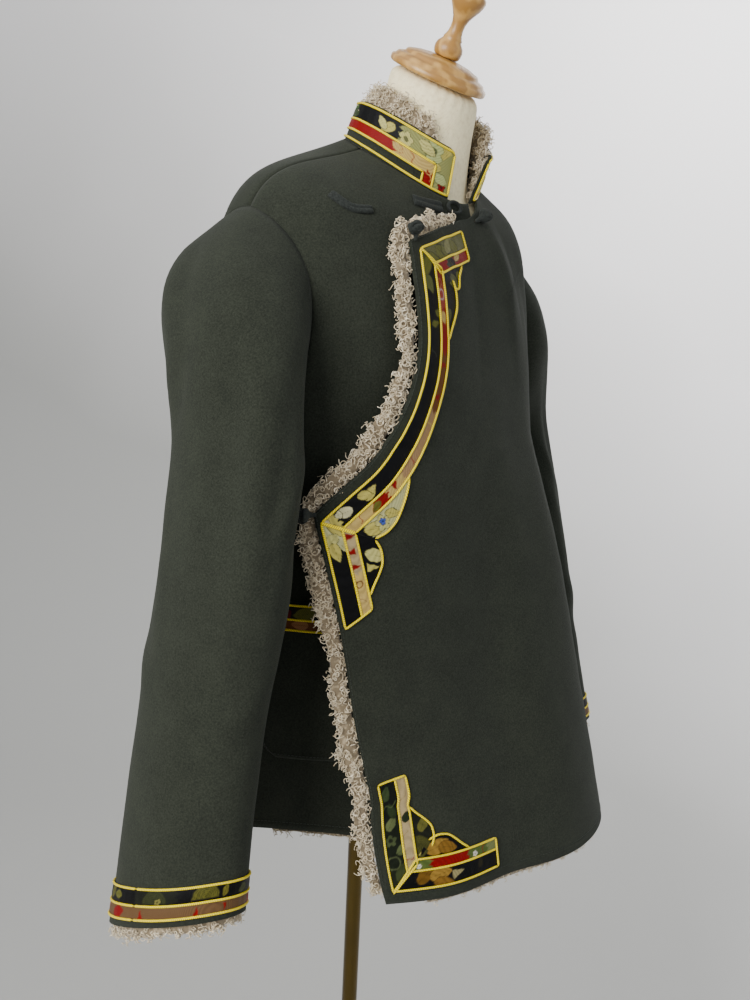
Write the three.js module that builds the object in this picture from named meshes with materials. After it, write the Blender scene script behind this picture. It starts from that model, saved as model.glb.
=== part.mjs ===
// A fleece-lined wrap coat with brocade trims on a limbless dress form and its stand.
// Millimetres, +Z up. The front faces -Y and the wearer's right is -X.
// The origin is the middle of the base's underside, on the axis of the pole.
//
// The body of the coat is one surface. A place on it is an angle and a level:
// - angle: degrees round from the centre front, + to the wearer's left, 90 at the side seam
// - level: 0 at the hem, CHEST_LEVEL at the armpit line, 1 at the neckline
import * as THREE from "three";

const HEM_Z = 760; // hem above the floor
const CHEST_HEIGHT = 420; // armpit line above the hem
const CHEST_LEVEL = 0.55;
const CLOTH = 2.5; // fulled wool with its backing
const SEAM = 0.4; // gap between two sewn pieces
const LAID = 0.45; // gap under a piece that lies on another
const RIDGE_MARGIN = 1.2; // how much more than the ridge below it a laid piece is raised

// Radii of the body round its axis. One column for each station angle, one row for each height.
const STATIONS = [-180, -150, -120, -100, -80, -60, -40, -20, 0, 20, 40, 60, 90, 120, 150];
const BODY_ROWS = [
  { height: 0, radii: [188, 200, 214, 192, 152, 136, 140, 170, 196, 248, 270, 254, 230, 226, 203] },
  { height: 140, radii: [175, 188, 204, 196, 168, 150, 148, 166, 178, 214, 239, 232, 220, 214, 188] },
  { height: 280, radii: [158, 172, 196, 196, 184, 170, 160, 154, 154, 178, 202, 207, 206, 200, 171] },
  { height: 420, radii: [140, 154, 182, 192, 191, 178, 158, 140, 134, 140, 158, 179, 190, 181, 154] },
];
// How far the wrapped front stands off the front below it: columns by angle, rows by height.
const LIFT_STATIONS = [-75, -60, -40, -20, 0, 20, 40, 60, 90];
const LIFT_ROWS = [
  { height: 0, lifts: [90, 92, 84, 54, 28, 10, 4, 0, 0] },
  { height: 140, lifts: [75, 68, 57, 24, 10, 6, 3, 0, 0] },
  { height: 280, lifts: [52, 44, 31, 15, 8, 5, 3, 0, 0] },
  { height: 420, lifts: [30, 27, 22, 13, 7.5, 5, 3, 0, 0] },
  { height: 520, lifts: [22, 20, 17, 12, 7, 5, 3, 0, 0] },
  { height: 600, lifts: [16, 15, 14, 10, 6.5, 5, 3, 0, 0] },
  { height: 650, lifts: [14, 13, 12, 9, 6, 3.7, 0.6, 0, 0] },
];
const NECKLINE = { half: 72, front: 66, back: 60, y: -32, frontHeight: 645, backHeight: 708, hump: 14 };
// The shoulders are curves from the armpit line to the neckline, with one shape for each quarter.
const YOKE = {
  side: { rise: 0.96, swell: 10, reach: 0.85, drop: 0.15 },
  front: { rise: 0.45, swell: 2, reach: 0.33, drop: 0.25 },
  back: { rise: 0.5, swell: 10, reach: 0.56, drop: 0.1 },
};
// Soft folds: ridges (+) and hollows (-) along a line on the surface, widths and depths in mm.
const FOLDS = [
  { name: "left shoulder drag", angles: [24, 40], levels: [0.93, 0.62], width: 20, depth: 3.5 },
  { name: "left breast hollow", angles: [42, 58], levels: [0.84, 0.6], width: 20, depth: -3.5 },
  { name: "left breast fall", angles: [44, 30], levels: [0.62, 0.2], width: 30, depth: 5 },
  { name: "right chest pull", angles: [-70, -46], levels: [0.58, 0.55], width: 16, depth: -2.5 },
  { name: "right armpit hollow", angles: [-60, -64], levels: [0.66, 0.5], width: 18, depth: -3 },
  { name: "back left fall", angles: [140, 150], levels: [0.5, 0.02], width: 26, depth: 7 },
  { name: "back right fall", angles: [-142, -152], levels: [0.5, 0.02], width: 26, depth: 7 },
  { name: "back waist hollow", angles: [175, 178], levels: [0.5, 0.1], width: 30, depth: -5 },
];
const MM_PER_DEGREE = 3.2;
const MM_PER_LEVEL = 760;

const SIDE_ANGLE = 90;
const ARMHOLE = { bottom: 0.53, top: 0.748, frontReach: 24, backReach: 24, rows: 8 };
const HEM_LEVELS = { right: 0.03, left: 0 }; // the under front rides a little higher
const UNDER_EDGE_ANGLE = 12; // the under front ends here, below the wrapped front
// The free edge of the wrapped front, from its hem corner to the side corner, then to the breast corner.
const SIDE_EDGE = { levels: [0, 0.109, 0.215, 0.351, 0.476], angles: [-29.6, -38.2, -49.1, -56.1, -63.4] };
const BREAST_EDGE = {
  levels: [0.476, 0.51, 0.538, 0.569, 0.604, 0.643, 0.697, 0.749, 0.785],
  angles: [-63.4, -56.2, -50, -43.4, -38.9, -37.4, -38.9, -41.4, -43.1],
};
const TOP_EDGE = {
  levels: [0.785, 0.826, 0.885, 0.946, 0.969, 1],
  angles: [-43.1, -36.9, -26.8, -8.6, 12, 25],
};

// Sleeve sections: distance of the middle from the coat's axis, its place along Y, the half sizes
// and the degrees that the section's front is swung up.
const SLEEVE_RIGHT = [
  { height: 392, out: 233, y: -53, halfOut: 40, halfDeep: 73, swing: 0 },
  { height: 300, out: 245, y: -54, halfOut: 42, halfDeep: 74, swing: 4 },
  { height: 200, out: 259, y: -48, halfOut: 42, halfDeep: 73, swing: 9 },
  { height: 100, out: 274, y: -48, halfOut: 43, halfDeep: 74, swing: 14 },
  { height: 4, out: 290, y: -53, halfOut: 46, halfDeep: 79, swing: 20 },
];
const SLEEVE_LEFT = [
  { height: 392, out: 240, y: 12, halfOut: 40, halfDeep: 73, swing: 0 },
  { height: 300, out: 256, y: -4, halfOut: 42, halfDeep: 74, swing: 5 },
  { height: 200, out: 271, y: -22, halfOut: 42, halfDeep: 73, swing: 10 },
  { height: 100, out: 284, y: -38, halfOut: 43, halfDeep: 74, swing: 15 },
  { height: 6, out: 296, y: -52, halfOut: 46, halfDeep: 79, swing: 20 },
];
const SLEEVE_CAP_STEPS = [0.1, 0.25, 0.45, 0.7]; // rings between the armhole and the first section

// How a sleeve leaves its armhole: a little inside it, dipping down, eased over a share of its length.
const SLEEVE_HEAD = { inset: 0.19, nudge: 0.0009, dip: 30, innerDip: 30, ease: 0.36 };

// The collar's ends are angles. It leans forward and inward as it rises and flares at its left end.
const COLLAR = {
  rightEnd: -12, leftEnd: 17, height: 44, backShare: 0.66, lean: -12,
  inset: 0.9, inward: 5, flare: 18, flareFrom: 0.82, steps: 22,
};
const COLLAR_TRIM = { narrow: 9.5, start: 11, wide: 15.5, endShare: 0.008 };
const COLLAR_CORD_HEIGHTS = [1.2, 2.4, 3.6];
const COLLAR_DIP = 10; // how far the collar's fleece starts below its top, past its own depth
// A trim's section across its width: distance from its outer edge and height above the cloth.
const CORD_HEIGHT = 2.3;
const CORD_FLANK = 0.9; // either side of a cord that lies alone
const BAND_HEIGHT = 1.1;
const CORD_WIDTH = 2.2;
const WIDE_BAND = 14.5;
const NARROW_BAND = 8.5;
const TRIM_MARGIN = { curve: 9, side: 4, hem: 9 }; // plain cloth outside the trim
const CUFF_TRIM = { fromEdge: 6, narrow: 10, wide: 12.5 };
// The scalloped piece in a corner: places along an arm from the inner corner, how far out it reaches
// there, and the reach of the cusp on the diagonal.
const SCALLOP = { along: [56, 49, 40, 31, 23], out: [2.6, 6, 12, 17, 18.5], cusp: 15.5 };
const HEM_ARMS = { up: 112, along: 118 };
const TOP_ARM = 60;
const SIDE_ARM = 106;

// The patch pocket: its middle angle, half width in degrees, and a width share for each level.
const POCKET = { angle: -63, half: 21.5, columns: 10, spare: 0.6 };
const POCKET_ROWS = [
  { level: 0.354, width: 1 }, { level: 0.27, width: 1 }, { level: 0.2, width: 1 },
  { level: 0.172, width: 0.96 }, { level: 0.15, width: 0.86 }, { level: 0.138, width: 0.7 },
];
const FLEECE = {
  edgeReach: 10, edgeThick: 9, edgeThin: 1.6, edgeCover: 2,
  hemReach: 6, hemHalf: 3,
  cuffOut: 12, cuffHalf: 4.4, cuffCover: 3,
  collarAbove: 17, collarHalf: 4.6, collarDepth: 14, collarFrom: 0.05, collarTo: 0.985, collarSteps: 28,
};

// Closures of folded strips: on the under front the strips and a loop, on the wrapped front the knots.
const STRIP_THICK = 3;
const STRIPS = [
  { name: "neck_loop_tab", angles: [-41.3, -31, -20.5], levels: [0.934, 0.951, 0.966], width: 12 },
  { name: "chest_loop", angles: [-68, -60.5, -54.5], levels: [0.824, 0.811, 0.831], width: 8.5 },
  { name: "side_loop", angles: [-78, -73, -68], levels: [0.46, 0.462, 0.463], width: 8.5 },
];
const NECK_LOOP = { angle: -9, level: 0.98, halfLong: 9, halfWide: 5.5, radius: 2.1, steps: 12 };
const KNOTS = [
  { name: "neck_knot", from: { angle: 9, level: 0.948 }, to: { angle: 22, level: 0.954 } },
  { name: "chest_knot", from: { angle: -41.2, level: 0.789 }, to: { angle: -43.6, level: 0.815 } },
  { name: "side_knot", from: { angle: -62.6, level: 0.476 }, to: { angle: -66.6, level: 0.477 } },
];
const STEM_AND_BALL = [1.6, 2.2, 2.4, 2.6, 5.2, 6.4, 6.6, 5.4, 2.6]; // radii along a knot

// The dress form: sections of the trunk as half width, front and back depth at a height over the hem.
const TRUNK_ROWS = [
  { height: 74, half: 104, front: 74, back: 86 },
  { height: 84, half: 118, front: 84, back: 98 },
  { height: 150, half: 124, front: 88, back: 104 },
  { height: 250, half: 110, front: 84, back: 90 },
  { height: 330, half: 122, front: 96, back: 94 },
  { height: 405, half: 140, front: 110, back: 106 },
  { height: 480, half: 150, front: 108, back: 110 },
  { height: 550, half: 156, front: 100, back: 108 },
];
const SHOULDER_LEVELS = [0.82, 0.87, 0.92, 0.97];
const SHOULDER_INSET = CLOTH + 2.2;
const NECK_ROOT = { share: 0.84, drop: 2 }; // the ring inside the collar's foot
const NECK_ROWS = [
  { height: 704, y: -47, radius: 49.5 },
  { height: 735, y: -54.5, radius: 46.5 },
  { height: 762, y: -61, radius: 46.5 },
];
const NECK_TILT = 27; // the neck and its cap lean forward
const FORM_STEPS = 28;
// Turned profiles: radius and height over the piece's own seat.
const CAP_PROFILE = [
  [0, 0], [47.5, 0], [49, 1.5], [49, 6], [45.5, 8], [38, 12.5], [36, 16], [15, 20], [0, 20],
];
const FINIAL_PROFILE = [
  [0, 0], [11, 0], [13.5, 5], [13.5, 10], [9.5, 15], [6.8, 23], [7.4, 32],
  [11, 40], [16, 49], [17, 54], [14, 58.5], [11, 60.5], [13, 66], [10, 74], [0, 78],
];
const POLE_RADIUS = 9;
const BASE_PROFILE = [
  [0, 0], [165, 0], [168, 3], [168, 9], [162, 15], [40, 20], [27, 22], [24, 26], [24, 40], [0, 40],
];
const ROUND_STEPS = 24;

const COLOURS = {
  cloth: 0x3b403b, cord: 0xc9ad4c, wideBand: 0x1d211c, narrowBand: 0x8a3a26,
  fleece: 0xd8cdb8, linen: 0xd9d3c4, wood: 0xc79a63, pole: 0x8f6f36, knot: 0x2d312d,
};

const part = new THREE.Group();

function addPiece(name, geometry, colour, roughness = 0.9, metalness = 0) {
  const material = new THREE.MeshStandardMaterial({ color: colour, roughness, metalness });
  const mesh = new THREE.Mesh(geometry, material);
  mesh.name = name;
  part.add(mesh);
  return mesh;
}

function vector(x, y, z) {
  return new THREE.Vector3(x, y, z);
}

function moved(point, direction, distance) {
  return point.clone().addScaledVector(direction, distance);
}

// Evenly spaced values from one to another.
function spread(from, to, count) {
  return Array.from({ length: count }, (_, k) => THREE.MathUtils.lerp(from, to, k / (count - 1)));
}

// A smooth curve through a table of places and values.
function smoothTable(places, values, at) {
  const last = places.length - 1;
  const place = THREE.MathUtils.clamp(at, places[0], places[last]);
  let i = 0;
  while (i < last - 1 && place >= places[i + 1]) i += 1;
  const slope = (k) => {
    const low = Math.max(k - 1, 0);
    const high = Math.min(k + 1, last);
    return (values[high] - values[low]) / (places[high] - places[low]);
  };
  const span = places[i + 1] - places[i];
  const t = (place - places[i]) / span;
  const square = t * t;
  const cube = square * t;
  const fromStart = values[i] * (2 * cube - 3 * square + 1) + slope(i) * span * (cube - 2 * square + t);
  return fromStart + values[i + 1] * (3 * square - 2 * cube) + slope(i + 1) * span * (cube - square);
}

const ROUND_STATIONS = [
  ...STATIONS.slice(-3).map((angle) => angle - 360),
  ...STATIONS,
  ...STATIONS.slice(0, 3).map((angle) => angle + 360),
];
const BODY_HEIGHTS = BODY_ROWS.map((row) => row.height);

function bodyRadius(angle, height) {
  const round = THREE.MathUtils.euclideanModulo(angle + 180, 360) - 180;
  const atRows = BODY_ROWS.map(({ radii }) => {
    const values = [...radii.slice(-3), ...radii, ...radii.slice(0, 3)];
    return smoothTable(ROUND_STATIONS, values, round);
  });
  return smoothTable(BODY_HEIGHTS, atRows, height);
}

function wrapLift(angle, height) {
  const atRows = LIFT_ROWS.map(({ lifts }) => smoothTable(LIFT_STATIONS, lifts, angle));
  return smoothTable(LIFT_ROWS.map((row) => row.height), atRows, height);
}

// The plain surface of the body: rings up to the armpit line, then shoulder curves to the neckline.
function plainBody(angle, level) {
  const turn = THREE.MathUtils.degToRad(angle);
  const side = Math.sin(turn);
  const fore = Math.cos(turn);
  const height = Math.min(level / CHEST_LEVEL, 1) * CHEST_HEIGHT;
  const radius = bodyRadius(angle, height);
  const ring = vector(radius * side, -radius * fore, height);
  if (level <= CHEST_LEVEL) return ring.setZ(HEM_Z + height);
  const { half, front, back, y, frontHeight, backHeight, hump } = NECKLINE;
  const neckHeight = frontHeight + ((backHeight - frontHeight) * (1 - fore)) / 2 + hump * side * side;
  const neck = vector(half * side, y - (fore > 0 ? front : back) * fore, neckHeight);
  const sideShare = Math.abs(side) ** 1.2;
  const quarter = fore > 0 ? YOKE.front : YOKE.back;
  const mix = (key) => sideShare * YOKE.side[key] + (1 - sideShare) * quarter[key];
  const climb = neckHeight - CHEST_HEIGHT;
  const away = vector(ring.x - neck.x, ring.y - neck.y, 0);
  const outward = away.clone().normalize();
  const slope = (bodyRadius(angle, CHEST_HEIGHT) - bodyRadius(angle, CHEST_HEIGHT - 20)) / 20;
  const rise = mix("rise") * climb;
  const low = moved(ring, outward, mix("swell") + slope * rise * 0.6).setZ(CHEST_HEIGHT + rise);
  const high = moved(neck, away, mix("reach")).setZ(neckHeight - mix("drop") * climb);
  const curve = new THREE.CubicBezierCurve3(ring, low, high, neck);
  const point = curve.getPoint((level - CHEST_LEVEL) / (1 - CHEST_LEVEL));
  return point.setZ(HEM_Z + point.z);
}

function foldDepth(angle, level) {
  let depth = 0;
  for (const fold of FOLDS) {
    const start = new THREE.Vector2(fold.angles[0] * MM_PER_DEGREE, fold.levels[0] * MM_PER_LEVEL);
    const end = new THREE.Vector2(fold.angles[1] * MM_PER_DEGREE, fold.levels[1] * MM_PER_LEVEL);
    const along = end.clone().sub(start);
    const here = new THREE.Vector2(angle * MM_PER_DEGREE, level * MM_PER_LEVEL).sub(start);
    const share = here.dot(along) / along.lengthSq();
    const held = THREE.MathUtils.clamp(share, 0, 1);
    const distance = here.distanceTo(along.multiplyScalar(held));
    const fade = Math.sin(Math.PI * (0.08 + 0.84 * held));
    depth += fold.depth * fade * Math.exp(-((distance / fold.width) ** 2));
  }
  return depth;
}

// The outward direction of a surface function at a place, from two small steps.
function outwardOf(surface, angle, level) {
  const turnStep = 0.5;
  const levelStep = 0.003;
  const upper = Math.min(level + levelStep, 1);
  const lower = Math.max(level - levelStep, 0);
  const round = surface(angle + turnStep, level).sub(surface(angle - turnStep, level));
  const climb = surface(angle, upper).sub(surface(angle, lower));
  return round.cross(climb).normalize();
}

function underSurface(angle, level) {
  const normal = outwardOf(plainBody, angle, level);
  return moved(plainBody(angle, level), normal, foldDepth(angle, level));
}

function wrapSurface(angle, level) {
  const plain = plainBody(angle, level);
  const normal = outwardOf(plainBody, angle, level);
  return moved(plain, normal, wrapLift(angle, plain.z - HEM_Z) + foldDepth(angle, level));
}

// --- closed solids from grids of points ---

function closedGeometry(points, index) {
  let volume = 0;
  for (let i = 0; i < index.length; i += 3) {
    const [a, b, c] = [points[index[i]], points[index[i + 1]], points[index[i + 2]]];
    volume += a.dot(b.clone().cross(c));
  }
  if (volume < 0) index.reverse();
  const geometry = new THREE.BufferGeometry().setFromPoints(points).setIndex(index);
  geometry.computeVertexNormals();
  return geometry;
}

// A wall between two grids of the same size. A round wall's last column meets its first.
function wall(outer, inner, round = false) {
  const rows = outer.length;
  const columns = outer[0].length;
  const front = (i, j) => i * columns + (j % columns);
  const rear = (i, j) => rows * columns + front(i, j);
  const index = [];
  const quad = (a, b, c, d) => index.push(a, b, c, a, c, d);
  const lastRow = rows - 1;
  const spans = round ? columns : columns - 1;
  for (let j = 0; j < spans; j += 1) {
    for (let i = 0; i < lastRow; i += 1) {
      quad(front(i, j), front(i, j + 1), front(i + 1, j + 1), front(i + 1, j));
      quad(rear(i, j), rear(i + 1, j), rear(i + 1, j + 1), rear(i, j + 1));
    }
    quad(front(0, j + 1), front(0, j), rear(0, j), rear(0, j + 1));
    quad(front(lastRow, j), front(lastRow, j + 1), rear(lastRow, j + 1), rear(lastRow, j));
  }
  for (let i = 0; i < lastRow && !round; i += 1) {
    quad(front(i, 0), front(i + 1, 0), rear(i + 1, 0), rear(i, 0));
    quad(front(i + 1, spans), front(i, spans), rear(i, spans), rear(i + 1, spans));
  }
  return closedGeometry([...outer.flat(), ...inner.flat()], index);
}

// A solid through rings of points, closed at both ends or joined end to end.
function lofted(rings, joined = false) {
  const sides = rings[0].length;
  const count = rings.length;
  const index = [];
  const at = (i, j) => (i % count) * sides + (j % sides);
  const spans = joined ? count : count - 1;
  for (let i = 0; i < spans; i += 1) {
    for (let j = 0; j < sides; j += 1) {
      index.push(at(i, j), at(i, j + 1), at(i + 1, j + 1));
      index.push(at(i, j), at(i + 1, j + 1), at(i + 1, j));
    }
  }
  const points = rings.flat();
  if (!joined) {
    for (const [ring, turned] of [[0, true], [count - 1, false]]) {
      const middle = rings[ring].reduce((sum, p) => sum.add(p), vector(0, 0, 0)).divideScalar(sides);
      const centre = points.push(middle) - 1;
      for (let j = 0; j < sides; j += 1) {
        const [a, b] = turned ? [at(ring, j + 1), at(ring, j)] : [at(ring, j), at(ring, j + 1)];
        index.push(a, b, centre);
      }
    }
  }
  return closedGeometry(points, index);
}

// A section of a soft roll: an oval round a centre, in the plane of two directions.
function oval(centre, across, out, halfAcross, halfOut, sides) {
  const ring = [];
  for (let j = 0; j < sides; j += 1) {
    const turn = (2 * Math.PI * j) / sides;
    const point = moved(centre, across, halfAcross * Math.cos(turn));
    ring.push(point.addScaledVector(out, halfOut * Math.sin(turn)));
  }
  return ring;
}

// --- the body panels ---

function armholeLevels() {
  const middle = (ARMHOLE.top + ARMHOLE.bottom) / 2;
  const half = (ARMHOLE.top - ARMHOLE.bottom) / 2;
  const steps = ARMHOLE.rows - 1;
  return Array.from({ length: ARMHOLE.rows }, (_, k) => middle - half * Math.cos((Math.PI * k) / steps));
}

// How far the armhole opens at a level, in degrees from the side seam.
function armholeOpening(level, reach) {
  const middle = (ARMHOLE.top + ARMHOLE.bottom) / 2;
  const half = (ARMHOLE.top - ARMHOLE.bottom) / 2;
  const share = Math.min(Math.abs((level - middle) / half), 1);
  return reach * (1 - share ** 2.2) ** 0.6;
}

function seamAngle(level) {
  const point = plainBody(SIDE_ANGLE, level);
  return THREE.MathUtils.radToDeg(SEAM / 2 / Math.hypot(point.x, point.y));
}

function frontSide(level) {
  return SIDE_ANGLE - seamAngle(level) - armholeOpening(level, ARMHOLE.frontReach);
}

function backSide(level) {
  return SIDE_ANGLE + seamAngle(level) + armholeOpening(level, ARMHOLE.backReach);
}

function wrapEdge(level) {
  const side = SIDE_EDGE.levels.at(-1);
  const breast = BREAST_EDGE.levels.at(-1);
  if (level <= side) return smoothTable(SIDE_EDGE.levels, SIDE_EDGE.angles, level);
  if (level <= breast) return smoothTable(BREAST_EDGE.levels, BREAST_EDGE.angles, level);
  return smoothTable(TOP_EDGE.levels, TOP_EDGE.angles, level);
}

const BELOW_ARMHOLE = [0, 0.09, 0.18, 0.265, 0.351, 0.42, 0.476, 0.505];
const ABOVE_ARMHOLE = [0.766, 0.785, 0.826, 0.885, 0.93, 0.958, 1];
const PANEL_LEVELS = [...BELOW_ARMHOLE, ...armholeLevels(), ...ABOVE_ARMHOLE];

// A panel is a grid of places with their points and outward directions. Its hem may ride up.
function makePanel(surface, fromAngle, toAngle, columns, hemLevel) {
  const firstHigh = 0.17;
  const rows = PANEL_LEVELS.map((level) => {
    const row = [];
    for (let j = 0; j <= columns; j += 1) {
      const share = j / columns;
      const raise = hemLevel(share) * Math.max(0, 1 - level / firstHigh);
      const angle = THREE.MathUtils.lerp(fromAngle(level), toAngle(level), share);
      const place = { angle, level: level + raise };
      const normal = outwardOf(surface, place.angle, place.level);
      row.push({ ...place, normal, point: surface(place.angle, place.level) });
    }
    return row;
  });
  return { surface, rows };
}

function panelWall(panel) {
  const outer = panel.rows.map((row) => row.map((cell) => cell.point.clone()));
  const inner = panel.rows.map((row) => row.map((cell) => moved(cell.point, cell.normal, -CLOTH)));
  return wall(outer, inner);
}

// The point of a panel's flat faces at a place, with the direction out of the cloth.
function onPanel(panel, angle, level) {
  const { rows } = panel;
  const columns = rows[0].length - 1;
  let i = 0;
  while (i < rows.length - 2 && level > rows[i + 1][0].level) i += 1;
  const up = (level - rows[i][0].level) / (rows[i + 1][0].level - rows[i][0].level);
  const start = THREE.MathUtils.lerp(rows[i][0].angle, rows[i + 1][0].angle, up);
  const end = THREE.MathUtils.lerp(rows[i][columns].angle, rows[i + 1][columns].angle, up);
  const across = ((angle - start) / (end - start)) * columns;
  const j = THREE.MathUtils.clamp(Math.floor(across), 0, columns - 1);
  const right = across - j;
  const corners = [rows[i][j], rows[i][j + 1], rows[i + 1][j + 1], rows[i + 1][j]];
  const upperHalf = up > right;
  const weights = upperHalf ? [1 - up, 0, right, up - right] : [1 - right, right - up, up, 0];
  const point = vector(0, 0, 0);
  const normal = vector(0, 0, 0);
  corners.forEach((corner, k) => {
    point.addScaledVector(corner.point, weights[k]);
    normal.addScaledVector(corner.normal, weights[k]);
  });
  return { point, normal: normal.normalize() };
}

// Seats a grid of places on a panel. Where a flat cell of the grid would cut into the panel between its
// points, the points round that cell are raised to clear it.
function seated(panel, places, gap) {
  const cells = places.map((row) => row.map(({ angle, level }) => onPanel(panel, angle, level)));
  const raises = places.map((row) => row.map(() => 0));
  const shares = [0, 0.25, 0.5, 0.75, 1];
  for (let i = 0; i < places.length - 1; i += 1) {
    for (let j = 0; j < places[0].length - 1; j += 1) {
      const round = [[i, j], [i, j + 1], [i + 1, j + 1], [i + 1, j]];
      let cut = 0;
      for (const up of shares) {
        for (const right of shares) {
          const share = [(1 - up) * (1 - right), (1 - up) * right, up * right, up * (1 - right)];
          const point = vector(0, 0, 0);
          const place = { angle: 0, level: 0 };
          round.forEach(([a, b], k) => {
            point.addScaledVector(cells[a][b].point, share[k]);
            place.angle += places[a][b].angle * share[k];
            place.level += places[a][b].level * share[k];
          });
          const there = onPanel(panel, place.angle, place.level);
          cut = Math.max(cut, there.point.sub(point).dot(there.normal) * RIDGE_MARGIN);
        }
      }
      for (const [a, b] of round) raises[a][b] = Math.max(raises[a][b], cut);
    }
  }
  const raised = ({ point, normal }, raise) => ({ point: moved(point, normal, gap + raise), normal });
  return cells.map((row, i) => row.map((cell, j) => raised(cell, raises[i][j])));
}

// The place reached from a place by going a distance over the surface in a direction.
function walk(surface, place, direction, distance) {
  const longestStep = 12;
  const halfTurn = 0.5; // degrees, so round is the way per degree
  const halfLevel = 0.002;
  const steps = Math.max(1, Math.ceil(Math.abs(distance) / longestStep));
  let { angle, level } = place;
  for (let k = 0; k < steps; k += 1) {
    const round = surface(angle + halfTurn, level).sub(surface(angle - halfTurn, level));
    const climb = surface(angle, level + halfLevel).sub(surface(angle, level - halfLevel));
    climb.divideScalar(2 * halfLevel);
    const goal = direction.clone().multiplyScalar(distance / steps);
    const rr = round.dot(round);
    const rc = round.dot(climb);
    const cc = climb.dot(climb);
    const gr = goal.dot(round);
    const gc = goal.dot(climb);
    const determinant = rr * cc - rc * rc;
    angle += (gr * cc - gc * rc) / determinant;
    level += (gc * rr - gr * rc) / determinant;
  }
  return { angle, level };
}

const back = makePanel(
  underSurface,
  (level) => backSide(level),
  (level) => 360 - backSide(level),
  14,
  (share) => THREE.MathUtils.lerp(HEM_LEVELS.left, HEM_LEVELS.right, share),
);
const frontRight = makePanel(
  underSurface,
  (level) => -frontSide(level),
  () => UNDER_EDGE_ANGLE,
  12,
  () => HEM_LEVELS.right,
);
const frontLeft = makePanel(wrapSurface, wrapEdge, frontSide, 16, () => HEM_LEVELS.left);
addPiece("back", panelWall(back), COLOURS.cloth);
addPiece("front_right", panelWall(frontRight), COLOURS.cloth);
addPiece("front_left", panelWall(frontLeft), COLOURS.cloth);

// --- the sleeves ---

// Points just inside the armhole, from the top down its front, then up its back.
function armholeRing(side) {
  const levels = armholeLevels().reverse();
  const last = levels.length - 1;
  const ring = [];
  const add = (level, opening, forward) => {
    const kept = Math.max(opening - SLEEVE_HEAD.inset, 0);
    const atEnd = level === levels[0] || level === levels[last];
    const nudge = atEnd ? Math.sign(ARMHOLE.bottom + ARMHOLE.top - 2 * level) * SLEEVE_HEAD.nudge : 0;
    const angle = side * (SIDE_ANGLE - forward * kept);
    const normal = outwardOf(plainBody, angle, level);
    ring.push({ point: underSurface(angle, level + nudge), normal });
  };
  for (let k = 0; k < last; k += 1) add(levels[k], armholeOpening(levels[k], ARMHOLE.frontReach), 1);
  for (let k = last; k > 0; k -= 1) add(levels[k], armholeOpening(levels[k], ARMHOLE.backReach), -1);
  return ring;
}

// One ring of a sleeve section, square to the run of the sleeve.
function sleeveRing(section, next, side, count) {
  const centre = vector(side * section.out, section.y, HEM_Z + section.height);
  const run = vector(side * (next.out - section.out), next.y - section.y, next.height - section.height);
  if (next.height > section.height) run.negate();
  run.normalize();
  const fore = vector(0, -1, 0).addScaledVector(run, run.y).normalize();
  const swing = THREE.MathUtils.degToRad(section.swing);
  fore.multiplyScalar(Math.cos(swing)).addScaledVector(run, -Math.sin(swing));
  const out = fore.clone().cross(run).normalize();
  if (out.x * side < 0) out.negate();
  const points = [];
  for (let j = 0; j < count; j += 1) {
    const turn = (2 * Math.PI * j) / count;
    const point = moved(centre, out, section.halfOut * Math.cos(turn));
    points.push(point.addScaledVector(fore, section.halfDeep * Math.sin(turn)));
  }
  return { points, run };
}

function makeSleeve(sections, side) {
  const start = armholeRing(side);
  const count = start.length;
  const rings = sections.map((section, k) => {
    const next = k < sections.length - 1 ? sections[k + 1] : sections[k - 1];
    return sleeveRing(section, next, side, count);
  });
  const cap = SLEEVE_CAP_STEPS.map((share) =>
    start.map(({ point, normal }, j) => {
      const turn = (2 * Math.PI * j) / count;
      const level = vector(normal.x, normal.y, 0).normalize();
      const innerShare = (1 - Math.cos(turn)) / 2;
      const dip = THREE.MathUtils.degToRad(SLEEVE_HEAD.dip + SLEEVE_HEAD.innerDip * innerShare);
      const leave = level.multiplyScalar(Math.cos(dip)).add(vector(0, 0, -Math.sin(dip)));
      const goal = rings[0].points[j];
      const ease = point.distanceTo(goal) * SLEEVE_HEAD.ease;
      const first = moved(point, leave, ease);
      const second = moved(goal, rings[0].run, -ease);
      return new THREE.CubicBezierCurve3(point, first, second, goal).getPoint(share);
    }),
  );
  const outer = [start.map(({ point }) => point.clone()), ...cap, ...rings.map((ring) => ring.points)];
  const inner = outer.map((ring, i) =>
    ring.map((point, j) => {
      const around = ring[(j + 1) % count].clone().sub(ring[(j + count - 1) % count]);
      const above = outer[Math.max(i - 1, 0)][j];
      const below = outer[Math.min(i + 1, outer.length - 1)][j];
      const down = below.clone().sub(above);
      const normal = around.cross(down).normalize();
      const centre = ring.reduce((sum, p) => sum.add(p), vector(0, 0, 0)).divideScalar(count);
      if (normal.dot(point.clone().sub(centre)) < 0) normal.negate();
      return moved(point, normal, -CLOTH);
    }),
  );
  return { outer, inner };
}

// A round strip on the last stretch of a sleeve, made from the sleeve's own points.
function cuffStrip(sleeve, profile) {
  const { outer, inner } = sleeve;
  const last = outer.length - 1;
  const stretch = outer[last][0].distanceTo(outer[last - 1][0]);
  const rowAt = (fromEdge, height) =>
    outer[last].map((edge, j) => {
      const share = fromEdge / stretch;
      const point = edge.clone().lerp(outer[last - 1][j], share);
      const normal = edge.clone().sub(inner[last][j]).normalize();
      return moved(point, normal, height);
    });
  const top = profile.map(([fromEdge, height]) => rowAt(fromEdge, LAID + height));
  const under = profile.map(([fromEdge]) => rowAt(fromEdge, LAID));
  return wall(top, under, true);
}

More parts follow.
